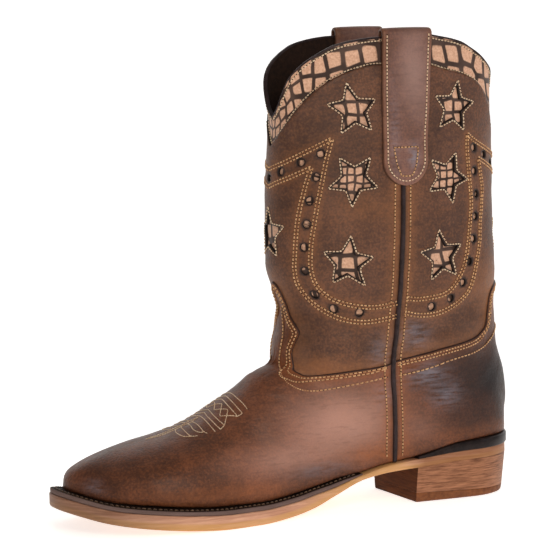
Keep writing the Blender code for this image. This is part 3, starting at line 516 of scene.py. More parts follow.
class RingArcs:
    """Distance round the upper from its front line, kept at evenly spaced heights."""

    def __init__(self, low=16.0, high=280.0, step=3.0, divisions=240):
        self.low, self.step, self.half = low, step, divisions // 2
        self.heights = np.arange(low, high + step / 2, step)
        self.theta = np.linspace(0, TAU, divisions + 1)
        ring = surface(self.theta[None, :], self.heights[:, None])
        lengths = np.linalg.norm(np.diff(ring, axis=1), axis=2)
        walked = np.concatenate([np.zeros((len(ring), 1)), np.cumsum(lengths, axis=1)], axis=1)
        self.front = walked[:, self.half]
        self.whole = walked[:, -1]
        self.arc = self.front[:, None] - walked
        self.place = ring[..., 0]

    def between_levels(self, z, read):
        """Reading at height z, blended from the two nearest kept heights."""
        place = np.clip((z - self.low) / self.step, 0, len(self.heights) - 1.001)
        level = place.astype(int)
        found = np.empty((2,) + z.shape)
        for above in (0, 1):
            for k in np.unique(level):
                here = level == k
                found[above][here] = read(k + above, here)
        share = place - level
        return found[0] * (1 - share) + found[1] * share

    def theta_at(self, arc, z):
        """Ray that meets the ring at height z after this arc; lateral arcs are above zero."""
        arc, z = np.broadcast_arrays(np.asarray(arc, float), np.asarray(z, float))
        return self.between_levels(z, lambda k, here: np.interp(-arc[here], -self.arc[k], self.theta))

    def arc_of(self, theta, z):
        """Arc from the front line to where this ray meets the ring at height z."""
        theta, z = np.broadcast_arrays(np.asarray(theta, float), np.asarray(z, float))
        return self.between_levels(z, lambda k, here: np.interp(theta[here], self.theta, self.arc[k]))

    def theta_at_place(self, x, z, side):
        """Ray that meets the side of the upper at this place along the boot."""
        x, z = np.broadcast_arrays(np.asarray(x, float), np.asarray(z, float))
        rays, places = self.theta[: self.half + 1], self.place[:, : self.half + 1]
        if side > 0:
            rays, places = self.theta[: self.half - 1 : -1], self.place[:, : self.half - 1 : -1]
        theta = self.between_levels(z, lambda k, here: np.interp(-x[here], -places[k], rays))
        step = 0.002
        for _ in range(2):
            found, ahead = surface(theta, z)[..., 0], surface(theta + step, z)[..., 0]
            theta = theta + np.clip(step * (x - found) / (ahead - found), -0.05, 0.05)
        return theta

    def reach(self, z, side):
        """Arc from the front line to the back line on one side of the boot."""
        lateral = np.interp(z, self.heights, self.front)
        return lateral if side < 0 else np.interp(z, self.heights, self.whole) - lateral


ARCS = RingArcs()


def front_arc(theta, ring, half_way):
    """Arc from the front line along one ring, alike on both sides and half_way at the back line."""
    ring = np.full(np.shape(theta), ring)
    return ARCS.arc_of(np.minimum(theta, TAU - theta), ring) / ARCS.reach(ring, -1) * half_way


def edge_at(theta):
    """Height of the vamp's and counter's upper edge."""
    return vamp_edge(front_arc(theta, EDGE_RING, EDGE_ROWS[-1][0]))


SLANT = 0.4  # how far the vamp's rays lean to the side with height, so that they cross its cut edge once
SLANT_HEIGHTS = (40.0, 78.0, 98.0, 112.0)
SLANT_FULL = 12.0  # arc from the front line from which the lean is full
SLANT_FADE = 18.0  # arc past which it fades, over the same length


def lean(arc, z):
    """How far a ray of the vamp leans to the side at this arc and height."""
    low, start, level, top = SLANT_HEIGHTS
    rise = SLANT * np.interp(z, (low, start, level, top), (0.0, start - level, 0.0, top - level))
    fade = np.exp(-((np.maximum(arc - SLANT_FADE, 0) / SLANT_FADE) ** 2))
    return rise * np.clip(arc / SLANT_FULL, 0, 1) * fade


def vamp_ray(theta, z):
    """Ray that the vamp's column starting on this ray has reached at height z."""
    arc = ARCS.arc_of(theta, z)
    return ARCS.theta_at(np.sign(arc) * (np.abs(arc) + lean(np.abs(arc), z)), z)


def cut_line(side):
    """Cut edge of vamp and counter on one side of the boot: arc from the front line, height."""
    counter = np.array(COUNTER_CUT, float)
    counter[:, 0] = ARCS.reach(counter[:, 1], side) - counter[:, 0]
    return smooth_line(np.concatenate([VAMP_CUT, counter]), 1.0)


def vamp_cut_at(theta):
    """Height of the cut edge on each of the vamp's columns."""
    rays, heights = [], []
    for _, side in SIDES:
        arc, z = cut_line(side).T
        start = arc.copy()
        for _ in range(30):
            start = arc - lean(start, z)
        rays.append(ARCS.theta_at(-side * start, z))
        heights.append(z)
    rays, heights = np.concatenate(rays), np.concatenate(heights)
    order = np.argsort(rays)
    return np.interp(theta, rays[order], heights[order], period=TAU)


def panel_top_at(theta):
    """Height of the shaft leather's upper edge."""
    return panel_top(front_arc(theta, TOP_RING, TOP_ROWS[-1][0]))


def collar_at(theta):
    """Height of the collar's edge."""
    inner_side = np.where(theta > math.pi, np.sin(theta) ** 2, 0.0)
    return collar_height(front_arc(theta, TOP_RING, TOP_ROWS[-1][0])) + MEDIAL_RISE * inner_side


def edge_rise(below_edge):
    """How far the vamp and counter stand out at a distance below their edge."""
    return EDGE_RISE * np.clip(1 - below_edge / EDGE_FADE, 0, 1)


def feather_of(theta):
    """Height of the upper's lower edge on each ray."""
    z = np.full_like(theta, float(feather_height(HEEL_BREAST)))
    for _ in range(8):
        z = (z + feather_height(-surface(theta, z)[..., 0])) / 2
    return z


def spaced_heights(theta, low, high, steps):
    """Heights on each ray that are evenly spaced along the leather."""
    fine = np.linspace(0, 1, 90)[:, None]
    heights = low + (high - low) * fine
    path = surface(np.broadcast_to(theta, heights.shape), heights)
    walked = np.cumsum(np.linalg.norm(np.diff(path, axis=0), axis=2), axis=0)
    walked = np.concatenate([np.zeros((1, len(theta))), walked]) / walked[-1]
    wanted = np.linspace(0, 1, steps + 1)
    return np.stack([np.interp(wanted, walked[:, k], heights[:, k]) for k in range(len(theta))], axis=1)


def panel_arc(panel, theta, z, side):
    """Arc from the panel's middle line towards one side of the boot."""
    arc = np.abs(ARCS.arc_of(theta, z))
    return arc if panel == "front" else ARCS.reach(z, side) - arc


def panel_theta(panel, arc, z):
    """Ray at an arc from the panel's middle line; lateral arcs are above zero."""
    if panel == "back":
        arc = np.where(arc < 0, -ARCS.reach(z, 1) - arc, ARCS.reach(z, -1) - arc)
    return ARCS.theta_at(arc, z)


TOP_SEARCH = (24.0, 100.0)  # heights between which the top of the foot lies


def vamp_top(x, y):
    """Points and normals on the top of the foot, over these positions in plan."""
    x, y = np.broadcast_arrays(np.asarray(x, float), np.asarray(y, float))
    low, high = (np.full(x.shape, height) for height in TOP_SEARCH)
    for _ in range(HALVINGS):
        middle = (low + high) / 2
        inside = upper_field(x, y, middle) < 0
        low, high = np.where(inside, middle, low), np.where(inside, high, middle)
    points = np.stack([x, y, low], axis=-1)
    normals = outward(points)
    return points + normals * crumple(points)[..., None], normals


# Meshes

def frame_shift():
    """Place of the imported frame's origin in the last's frame."""
    low, high = (np.array(corner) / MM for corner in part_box("outsole"))
    places = np.linspace(0, SOLE_LENGTH, 2000)
    middle = (sole_half(places, 1).max() - sole_half(places, -1).max()) / 2
    return np.array([-SOLE_LENGTH / 2 - (low[0] + high[0]) / 2, middle - (low[1] + high[1]) / 2, 0.0])


SHIFT = frame_shift()


def make_piece(name, points, faces, materials, replaces=(), uv=None, marks=None, face_slots=None,
               sharp=180):
    """Mesh object from points in millimetres, riding on the boot."""
    mesh = bpy.data.meshes.new(name)
    points = (np.asarray(points, float).reshape(-1, 3) - SHIFT) * MM
    mesh.from_pydata(points.tolist(), [], [tuple(map(int, face)) for face in faces])
    for material in materials:
        mesh.materials.append(material)
    if face_slots is not None:
        mesh.polygons.foreach_set("material_index", np.asarray(face_slots, np.int32))
    if uv is not None:
        corner = np.empty(len(mesh.loops), np.int32)
        mesh.loops.foreach_get("vertex_index", corner)
        layer = mesh.uv_layers.new(name="leather")
        layer.data.foreach_set("uv", np.asarray(uv, float)[corner].ravel())
    for mark, values in (marks or {}).items():
        attribute = mesh.attributes.new(mark, "FLOAT", "POINT")
        attribute.data.foreach_set("value", np.asarray(values, float).ravel())
    mesh.shade_smooth()
    mesh.set_sharp_from_angle(angle=math.radians(sharp))
    mesh.update()
    piece = bpy.data.objects.new(name, mesh)
    bpy.context.collection.objects.link(piece)
    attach(piece, "root")
    if replaces:
        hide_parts(*replaces)


def full_turn(count):
    """Evenly spaced angles round a circle."""
    return np.arange(count) * TAU / count


def grid_faces(rows, columns, closed):
    """Quads of a grid, wound for rows that go up and columns that go round clockwise from above."""
    k = np.arange(columns if closed else columns - 1)
    after = (k + 1) % columns
    faces = []
    for r in range(rows - 1):
        here, there = r * columns, (r + 1) * columns
        faces.append(np.stack([here + k, there + k, there + after, here + after], axis=1))
    return np.concatenate(faces)


# Seams: lines in the plane of a panel, then thread along them

def smooth_line(points, step):
    """Evenly spaced points on a soft curve through the given ones."""
    points = np.array(points, float)
    before = np.concatenate([[2 * points[0] - points[1]], points[:-1]])
    after = np.concatenate([points[1:], [2 * points[-1] - points[-2]]])
    tangent = (after - before) / 2
    t = np.linspace(0, 1, 16, endpoint=False)[:, None]
    curve = []
    for k in range(len(points) - 1):
        a, b, m, n = points[k], points[k + 1], tangent[k], tangent[k + 1]
        curve.append(a + t * m + t**2 * (3 * (b - a) - 2 * m - n) + t**3 * (2 * (a - b) + m + n))
    return evenly(np.concatenate(curve + [points[-1:]]), step)


def evenly(line, step):
    """The same line with evenly spaced points."""
    walked = np.concatenate([[0], np.cumsum(np.linalg.norm(np.diff(line, axis=0), axis=1))])
    count = max(int(round(walked[-1] / step)), 2)
    wanted = np.linspace(0, walked[-1], count + 1)
    return np.stack([np.interp(wanted, walked, line[:, k]) for k in range(line.shape[1])], axis=1)


def beside(line, distance):
    """Line moved to its left in its plane."""
    along = np.gradient(line, axis=0)
    across = np.stack([-along[:, 1], along[:, 0]], axis=1)
    return line + across / np.linalg.norm(across, axis=1, keepdims=True) * distance


HOLE_LIFT = 0.05  # the painted shade of the needle holes lies this far above the leather
HOLE_AHEAD = 0.6  # and this share of their size ahead of the stitch
STITCH_SIDES = 5
# Rings of one stitch: share of its length, height and girth in radii of the thread
STITCH_RINGS = ((0.0, -0.5, 0.7), (0.22, 0.45, 1.0), (0.78, 0.45, 1.0), (1.0, -0.5, 0.7))


class Thread:
    """Stitches of one colour, gathered row by row and made into one mesh."""

    def __init__(self):
        self.starts, self.ends, self.normals = [], [], []

    def sew(self, line, place, pitch=2.1, fill=0.74):
        """Lay stitches along a line of a plane; place gives points and normals on the leather."""
        line = evenly(np.asarray(line, float), pitch)
        start, end = line[:-1], line[:-1] + (line[1:] - line[:-1]) * fill
        start_points, normals = place(start)
        end_points, _ = place(end)
        self.starts.append(start_points)
        self.ends.append(end_points)
        self.normals.append(normals)

    def make(self, name, radius, material, slot, hole=0.0):
        """One mesh of all stitches, each with a disc of painted shade for its needle hole ahead of it when
        the hole has a size.
        """
        start, end = np.concatenate(self.starts), np.concatenate(self.ends)
        normal = np.concatenate(self.normals)
        along = end - start
        across = np.cross(along, normal)
        across /= np.maximum(np.linalg.norm(across, axis=1, keepdims=True), 1e-6)
        turn = full_turn(STITCH_SIDES)
        points = []
        for share, height, girth in STITCH_RINGS:
            middle = start + along * share + normal * height * radius
            ring = np.cos(turn)[:, None, None] * across + np.sin(turn)[:, None, None] * normal
            points.append(middle + ring * radius * girth)
        points = np.array(points).transpose(2, 0, 1, 3).reshape(-1, 3)
        count = len(start)
        one = grid_faces(len(STITCH_RINGS), STITCH_SIDES, True)
        first = np.arange(count) * len(STITCH_RINGS) * STITCH_SIDES
        faces = [tuple(face) for face in (one + first[:, None, None]).reshape(-1, 4)]
        slots = [0] * len(faces)
        if hole:
            ahead = along / np.maximum(np.linalg.norm(along, axis=1, keepdims=True), 1e-6)
            ring = np.cos(turn)[:, None, None] * ahead + np.sin(turn)[:, None, None] * across
            rims = end + ahead * hole * HOLE_AHEAD + normal * HOLE_LIFT + ring * hole
            corners = len(points) + np.arange(count * STITCH_SIDES).reshape(count, STITCH_SIDES)
            points = np.concatenate([points, rims.transpose(1, 0, 2).reshape(-1, 3)])
            faces += [tuple(face) for face in corners[:, ::-1]]
            slots += [1] * count
        make_piece(name, points, faces, [material, NEEDLE_HOLE_SHADE], face_slots=slots)


def on_panel(panel, side, offset=0.0):
    """Places points of a panel's plane on one side of the boot."""
    def place(line):
        arc, z = line[:, 0] * -side, line[:, 1]
        return skin(panel_theta(panel, arc, z), z, offset)

    return place


def at_side(side, offset):
    """Places points given by place along the boot and height on one side of it."""
    def place(line):
        x, z = line[:, 0], line[:, 1]
        lift = offset(x, z) if callable(offset) else offset
        return skin(ARCS.theta_at_place(x, z, side), z, lift)

    return place


# Materials

def linear(code, alpha=1.0):
    """Scene colour of an sRGB hex code."""
    channels = [int(code[k : k + 2], 16) / 255 for k in (1, 3, 5)]
    return tuple(c / 12.92 if c <= 0.04045 else ((c + 0.055) / 1.055) ** 2.4 for c in channels) + (alpha,)


def add(tree, kind, inputs, output=0, **settings):
    """Adds a node with its settings, sets or links its inputs, and gives one of its outputs."""
    node = tree.nodes.new(kind)
    for name, value in settings.items():
        setattr(node, name, value)
    for name, value in inputs.items():
        if isinstance(value, bpy.types.NodeSocket):
            tree.links.new(value, node.inputs[name])
        else:
            node.inputs[name].default_value = value
    return node.outputs[output]


# Kinds of node that the finishes share
NOISE = "ShaderNodeTexNoise"
CELLS = "ShaderNodeTexVoronoi"
RANGE = "ShaderNodeMapRange"  # inputs: value, from low, from high, to low, to high
MATH = "ShaderNodeMath"
BUMP = "ShaderNodeBump"
MARK = "ShaderNodeAttribute"  # a share that the mesh carries at each point


def start_finish(name, roughness, gloss=0.18, **sockets):
    """New material with its shader's own values set, and the coordinates that its patterns use."""
    material = bpy.data.materials.new(name)
    material.use_nodes = True
    tree = material.node_tree
    shader = tree.nodes["Principled BSDF"]
    shader.inputs["Roughness"].default_value = roughness
    shader.inputs["Specular IOR Level"].default_value = gloss
    for socket, value in sockets.items():
        shader.inputs[socket.replace("_", " ")].default_value = value
    where = add(tree, "ShaderNodeTexCoord", {}, "Object")
    return material, tree, shader, where


def paint(tree, shader, ground, layers):
    """Colour of the surface: a ground, then layers of a share from 0 to 1 and a colour."""
    colour = linear(ground)
    for share, over in layers:
        colour = add(tree, "ShaderNodeMix", {0: share, 6: colour, 7: linear(over)}, 2, data_type="RGBA")
    tree.links.new(colour, shader.inputs["Base Color"])


def per_mm(size):
    """Texture scale for a pattern of this size in millimetres, in metre coordinates."""
    return 1.0 / (size * MM)


WEAR_AND_LIGHT_KINDS = ("rub_and_highlight", "burnish_and_shade", "pale", "painted_sheen")


def waxed_leather(name, body, dark, rubbed, pale, roughness):
    """Waxed pull-up cowhide: oily hide whose wax shifts where it is bent or rubbed.

    Cloudy browns, orange where it is rubbed over seams and edges and as a painted highlight on a bulge,
    near black where it is burnished and as painted shade in folds, along cut edges and beside the piping,
    pinkish where it is drawn tight over the last and as a painted highlight on the vamp's side,
    streaks of painted blue-grey sheen and glints, mostly in the folds, and a soft broken shine.
    The pebble of the grain is drawn about three times as coarse as it is, so that it shows.
    """
    material, tree, shader, where = start_finish(name, roughness, Coat_Weight=0.06, Coat_Roughness=0.28)
    drawn = add(tree, "ShaderNodeMapping", {"Vector": where, "Scale": (0.5, 0.5, 2.6)})
    clouds = add(tree, NOISE, {"Vector": where, "Scale": per_mm(24), "Detail": 5.0, "Roughness": 0.6})
    fibres = add(tree, NOISE, {"Vector": where, "Scale": per_mm(3.0), "Detail": 6.0, "Roughness": 0.72})
    streaks = add(tree, NOISE, {"Vector": drawn, "Scale": per_mm(5.0), "Detail": 5.0, "Roughness": 0.6})
    grain = add(tree, NOISE, {"Vector": where, "Scale": per_mm(1.3), "Detail": 2.0})
    pebble = add(tree, CELLS, {"Vector": where, "Scale": per_mm(1.5)})
    worn = add(tree, RANGE, {0: fibres, 1: 0.28, 2: 0.62})
    streaky = add(tree, RANGE, {0: streaks, 1: 0.36, 2: 0.62})
    patchy = add(tree, RANGE, {0: worn, 3: 0.45, 4: 1.0})
    rub_and_highlight, burnish_and_shade, pale_and_lit, painted_sheen = (add(tree, MARK, {}, "Fac", attribute_name=kind) for kind in WEAR_AND_LIGHT_KINDS)
    layers = (
        (add(tree, RANGE, {0: clouds, 1: 0.38, 2: 0.64}), body),
        (add(tree, MATH, {0: worn, 1: 0.10}, operation="MULTIPLY"), rubbed),
        (add(tree, MATH, {0: streaky, 1: 0.09}, operation="MULTIPLY"), rubbed),
        (add(tree, RANGE, {0: grain, 1: 0.54, 2: 0.30, 4: 0.55}), dark),
        (add(tree, RANGE, {0: grain, 1: 0.50, 2: 0.70, 4: 0.22}), rubbed),
        (pale_and_lit, pale),
        (add(tree, MATH, {0: rub_and_highlight, 1: patchy}, operation="MULTIPLY"), rubbed),
        (add(tree, RANGE, {0: streaks, 1: 0.48, 2: 0.30, 4: 0.22}), dark),
        # near black of burnished leather, also painted shade in folds, at cut edges and beside the piping
        (burnish_and_shade, "#1d1818"),
        # painted blue-grey sheen, in streaks
        (add(tree, MATH, {0: painted_sheen, 1: streaky}, operation="MULTIPLY"), "#7f7f8b"),
    )
    paint(tree, shader, dark, layers)
    shine = add(tree, RANGE, {0: worn, 3: roughness - 0.07, 4: roughness + 0.10})
    tree.links.new(shine, shader.inputs["Roughness"])
    relief = add(tree, BUMP, {"Height": pebble, "Strength": 0.5, "Distance": 0.26 * MM})
    relief = add(tree, BUMP, {"Height": streaks, "Strength": 0.30, "Distance": 0.7 * MM, "Normal": relief})
    relief = add(tree, BUMP, {"Height": fibres, "Strength": 0.45, "Distance": 0.5 * MM, "Normal": relief})
    tree.links.new(relief, shader.inputs["Normal"])
    return material


def croc_print():
    """Croc-printed cowhide: pale plates pressed and tipped over a dark ground.

    Rounded beige plates with wide dark channels between them, a faint freckle and here and there a pore.
    """
    material, tree, shader, where = start_finish("croc_printed_cowhide", 0.5)
    plane = add(tree, "ShaderNodeUVMap", {}, uv_map="leather")
    shape = {"Vector": plane, "Scale": 1.0, "Randomness": 0.34}
    edges = add(tree, CELLS, shape, feature="DISTANCE_TO_EDGE", voronoi_dimensions="2D")
    middles = add(tree, CELLS, {**shape, "Exponent": 4.0}, distance="MINKOWSKI", voronoi_dimensions="2D")
    freckle = add(tree, NOISE, {"Vector": where, "Scale": per_mm(1.2), "Detail": 4.0})
    patches = add(tree, NOISE, {"Vector": where, "Scale": per_mm(14)})
    pores = add(tree, CELLS, {"Vector": where, "Scale": per_mm(2.6)})
    channel = add(tree, RANGE, {0: edges, 1: 0.10, 2: 0.15})
    rounded = add(tree, RANGE, {0: middles, 1: 0.46, 2: 0.38})
    plate = add(tree, MATH, {0: channel, 1: rounded}, operation="MULTIPLY")
    freckled = add(tree, RANGE, {0: freckle, 1: 0.30, 2: 0.72})
    pored = add(tree, RANGE, {0: pores, 1: 0.17, 2: 0.12})
    pored = add(tree, MATH, {0: pored, 1: plate}, operation="MULTIPLY")
    in_patch = add(tree, RANGE, {0: patches, 1: 0.56, 2: 0.60})
    layers = (
        (add(tree, RANGE, {0: patches, 1: 0.40, 2: 0.60}), "#4f3c34"),
        (plate, "#b98b70"),
        (add(tree, MATH, {0: plate, 1: freckled}, operation="MULTIPLY"), "#dab095"),
        (add(tree, MATH, {0: pored, 1: in_patch}, operation="MULTIPLY"), "#6b4a3a"),
    )
    paint(tree, shader, "#36261f", layers)
    relief = add(tree, BUMP, {"Height": plate, "Strength": 0.5, "Distance": 0.4 * MM})
    tree.links.new(relief, shader.inputs["Normal"])
    return material


def two_toned(name, first, second, size, roughness, stretch=(1.0, 1.0, 1.0), bump=0.3, tints=(),
              gloss=0.18):
    """Dyed or raw hide, or rubber: two tones in clouds or streaks of a given size, with a matching relief.

    Each tint is a mark on the mesh and the colour that the surface takes there.
    """
    material, tree, shader, where = start_finish(name, roughness, gloss)
    bent = add(tree, "ShaderNodeMapping", {"Vector": where, "Scale": stretch})
    tone = add(tree, NOISE, {"Vector": bent, "Scale": per_mm(size), "Detail": 7.0, "Roughness": 0.68})
    layers = [(add(tree, RANGE, {0: tone, 1: 0.34, 2: 0.66}), second)]
    uneven = add(tree, RANGE, {0: tone, 1: 0.34, 2: 0.66, 3: 1.0, 4: 0.72})
    for kind, colour in tints:
        share = add(tree, MARK, {}, "Fac", attribute_name=kind)
        layers.append((add(tree, MATH, {0: share, 1: uneven}, operation="MULTIPLY"), colour))
    paint(tree, shader, first, layers)
    relief = add(tree, BUMP, {"Height": tone, "Strength": bump, "Distance": 0.4 * MM})
    tree.links.new(relief, shader.inputs["Normal"])
    return material


def sewing_thread(name, first, second):
    """Waxed polyester thread: soft sheen over a tight twist, so that neighbouring stitches differ in tone."""
    material, tree, shader, where = start_finish(name, 0.5, Sheen_Weight=0.25)
    tone = add(tree, NOISE, {"Vector": where, "Scale": per_mm(2.4), "Detail": 3.0})
    paint(tree, shader, first, [(add(tree, RANGE, {0: tone, 1: 0.35, 2: 0.65}), second)])
    return material


# Colours of each leather: body, dark, rubbed, pale; where the marks call for it, the rubbed and pale colours
# also stand for painted highlights
VAMP = waxed_leather("waxed_pull_up_cowhide_vamp", "#6c3f2a", "#42261a", "#9c5a31", "#bd8e7d", 0.42)
SHAFT = waxed_leather("waxed_pull_up_cowhide_shaft", "#5f4032", "#402b23", "#96603a", "#8a6150", 0.44)
STRAP = waxed_leather("waxed_pull_up_cowhide_strap", "#7b5a52", "#50362f", "#96603f", "#97786f", 0.36)
CROC = croc_print()
# Cut hide: the raw fibrous edge of dyed leather, near black and dull
CUT_EDGE = two_toned("dyed_cut_leather_edge", "#120b09", "#241712", 1.5, 0.75)
# Pigskin lining: dull dark brown with a loose nap
LINING = two_toned("brushed_pigskin_lining", "#1a0f0a", "#2e1c12", 2.2, 0.85)
# Black-brown goatskin piping: smooth, tight and a little glossy
PIPING = two_toned("rolled_goatskin_piping", "#1f1513", "#37292a", 4.0, 0.34, bump=0.1)
# Veg-tan sole edge: fine lengthwise sanding streaks, golden below and in the waist, dusky at toe and heel
SOLE = two_toned("sanded_veg_tan_sole_edge", "#b27d63", "#dba98b", 4.0, 0.5, (0.15, 0.15, 2.6),
                 tints=(("golden", "#c99758"), ("dusk", "#6c4b39"), ("brown", "#875636")))
# Dyed welt strip: near black top, partly dye and partly painted shade in the groove beside the upper; outer
# face rubbed to a grey brown
WELT = two_toned("dyed_waxed_welt_with_painted_groove_shade", "#150d0a", "#261912", 6.0, 0.7, (0.3, 0.3, 2.0),
                 tints=(("face", "#745f59"),), gloss=0.05)
# Rand: black-dyed edge leather with a hard wax polish
RAND = two_toned("black_dyed_rand_leather", "#120c0b", "#2a1f1d", 5.0, 0.35, bump=0.15, gloss=0.14)
# Stacked heel: thin lifts of sole leather pressed, sanded and stained, read as fine wavy horizontal lines
STACK = two_toned("stained_stacked_heel_lifts", "#5f3722", "#b27a58", 2.4, 0.5, (0.16, 0.16, 2.2), 0.5)
# Heel breast: the same lifts under a dark edge stain
BREAST = two_toned("dark_stained_heel_breast", "#3a2013", "#5e3820", 2.4, 0.7, (0.16, 0.16, 2.2), 0.5,
                   gloss=0.05)
# Heel rubber: dense brown rubber with a matt moulded face
LIFT = two_toned("moulded_brown_heel_rubber", "#633821", "#87522f", 3.0, 0.6, bump=0.1)
TAN_THREAD = sewing_thread("waxed_tan_thread", "#ab7a4e", "#dcae7c")
CREAM_THREAD = sewing_thread("waxed_cream_thread", "#c6a280", "#e8cfae")
WELT_THREAD = sewing_thread("waxed_brown_welt_thread", "#3f2a1c", "#73543a")
# Needle holes: punched through the leather; each is a flat dark disc of painted shade between stitches
NEEDLE_HOLE_SHADE = two_toned("painted_needle_hole_shade", "#1c110d", "#2a1a14", 1.0, 0.8, bump=0.0)


# Wear and painted light: how much the leather is rubbed, burnished, pale or sheened at each point; some
# rubbed and pale places are painted highlights, some burnished ones painted shade, and the blue-grey sheen is
# painted

def soft_spot(points, centre, size):
    """1 at a place on the boot, falling away over a size in each direction."""
    away = (points - np.array(centre, float)) / np.array(size, float)
    return np.exp(-np.sum(away**2, axis=-1))


def near_line(points, line, width):
    """1 on a line through space, falling away over a width."""
    away = np.full(points.shape[:-1], np.inf)
    for start, end in zip(line[:-1], line[1:]):
        along = end - start
        share = np.clip(((points - start) @ along) / (along @ along), 0, 1)
        away = np.minimum(away, np.linalg.norm(points - (start + share[..., None] * along), axis=-1))
    return np.exp(-((away / width) ** 2))


def seam_lines():
    """The side seams and the vamp's edge, as lines through space."""
    lines = []
    heights = np.linspace(30, PIPING_TOP, 24)
    for _, side in SIDES:
        theta = ARCS.theta_at_place(seam_place(heights), heights, side)
        lines.append(surface(theta, heights))
    for _, side in SIDES:
        arc, z = cut_line(side)[::6].T
        lines.append(surface(ARCS.theta_at(-side * arc, z), z))
    return lines


SEAM_LINES = seam_lines()
# Rub beside each of these lines: amount, width
SEAM_RUB = ((0.85, 7.0), (0.85, 7.0), (0.55, 6.0), (0.55, 6.0))
PIPING_SHADOW = (0.85, 2.4)  # painted shadow against the piping: amount, width

# Soft spots of wear and of painted light: kind, amount, centre on the lateral side, reach, whether the inner
# side has it too
WEAR_AND_LIGHT = (
    ("rub_and_highlight", 0.42, (-20, 0, 40), (40, 50, 5), False),
    # painted orange highlight on the bulge below the fold beside the tongue
    ("rub_and_highlight", 0.70, (-132, -27, 84), (13, 20, 6), True),
    ("rub_and_highlight", 0.40, (-190, -44, 19), (70, 12, 5), True),
    ("rub_and_highlight", 0.65, (-98, -31, 31), (20, 12, 6), True),
    ("rub_and_highlight", 0.45, (-20, -22, 125), (20, 30, 16), True),
    ("rub_and_highlight", 0.35, (-100, -34, 174), (22, 14, 9), True),
    ("burnish_and_shade", 0.40, (-262, -14, 32), (22, 26, 12), False),
    ("burnish_and_shade", 0.95, (-16, -26, 70), (34, 26, 25), True),
    ("burnish_and_shade", 0.85, (0, 0, 68), (16, 40, 26), False),
    ("burnish_and_shade", 0.45, (-45, -32, 82), (22, 14, 9), True),
    ("burnish_and_shade", 0.40, (-59, -33, 70), (14, 12, 9), True),
    ("burnish_and_shade", 0.55, (-38, -32, 48), (26, 14, 10), True),
    ("burnish_and_shade", 0.45, (-132, -34, 24), (24, 14, 6), True),
    # painted shade in the fold beside the tongue
    ("burnish_and_shade", 0.40, (-137, -18, 104), (7, 14, 22), True),
    ("burnish_and_shade", 0.30, (-120, -24, 205), (22, 20, 26), True),
    ("burnish_and_shade", 0.25, (-60, -36, 215), (10, 14, 22), True),
    # pale leather with a painted highlight on the vamp's side, here and in the next spot
    ("pale", 0.82, (-118, -30, 51), (35, 18, 19), True),
    ("pale", 0.50, (-154, -36, 34), (34, 18, 10), True),
    ("pale", 0.20, (-66, -32, 44), (12, 12, 8), True),
    # painted blue-grey sheen and glints on the counter, shaft, vamp and toe, in the rest of this table
    ("painted_sheen", 0.55, (-64, -33, 76), (12, 10, 7), True),
    ("painted_sheen", 0.45, (-52, -32, 63), (10, 10, 8), True),
    ("painted_sheen", 0.48, (-72, -34, 100), (9, 12, 8), True),
    ("painted_sheen", 0.32, (-93, -34, 91), (7, 12, 9), True),
    ("painted_sheen", 0.35, (-90, -32, 67), (6, 12, 8), True),
    ("painted_sheen", 0.25, (-132, -34, 26), (22, 12, 4), True),
    ("painted_sheen", 0.35, (-266, -20, 26), (6, 8, 4), True),
)


def wear_and_light_marks(points):
    """Rubbed, burnished, pale and sheened shares of the leather at points on it, some of them painted
    highlights and painted shade.
    """
    marks = {kind: np.zeros(points.shape[:-1]) for kind in WEAR_AND_LIGHT_KINDS}
    for line, (amount, width) in zip(SEAM_LINES, SEAM_RUB):
        marks["rub_and_highlight"] = np.maximum(marks["rub_and_highlight"], amount * near_line(points, line, width))
    # painted shadow beside the piping on both side seams
    amount, width = PIPING_SHADOW
    for line in SEAM_LINES[:2]:
        marks["burnish_and_shade"] = np.maximum(marks["burnish_and_shade"], amount * near_line(points, line, width))
    for kind, amount, centre, size, both in WEAR_AND_LIGHT:
        for mirror in ((1, -1) if both else (1,)):
            spot = soft_spot(points, np.array(centre) * (1, mirror, 1), size)
            marks[kind] = 1 - (1 - marks[kind]) * (1 - amount * spot)
    return marks


# Upper: vamp and counter, croc inlay, collar binding, lining

# Turned-in hem and thick cut edge of the vamp: height from its lower or upper edge, offset from the leather
VAMP_HEM = ((-1.2, -2.6), (-0.3, -0.7))
VAMP_LIP = ((-0.3, 0.92 * EDGE_RISE), (0.1, 0.55 * EDGE_RISE), (0.25, -0.2), (0.1, -2.0))
# darkness of the vamp's cut edge: partly its dyed edge, partly a painted shadow line along it
LIP_EDGE_AND_SHADE = 0.9
TONGUE_CROWD = 0.35  # how much closer together the vamp's columns are round the tongue


def make_vamp():
    """Vamp and counter as one skin."""
    turn = full_turn(400)
    theta = turn + TONGUE_CROWD * np.sin(turn)
    low, edge = feather_of(theta), vamp_cut_at(theta)
    rows = [(low + height, offset) for height, offset in VAMP_HEM]
    rows += [(z, edge_rise(edge - z)) for z in spaced_heights(theta, low + 0.2, edge - 0.9, 104)]
    rows += [(edge + height, offset) for height, offset in VAMP_LIP]
    z = np.array([row[0] for row in rows])
    offset = np.array([np.broadcast_to(row[1], theta.shape) for row in rows])
    points, _ = skin(vamp_ray(np.broadcast_to(theta, z.shape), z), z, offset)
    marks = wear_and_light_marks(points)
    # the cut edge's rows take the dyed edge's dark and a painted shadow line
    marks["burnish_and_shade"][-len(VAMP_LIP):] = LIP_EDGE_AND_SHADE
    faces = grid_faces(len(rows), len(theta), True)
    make_piece("vamp_and_counter", points, faces, [VAMP], ["upper"], marks=marks)


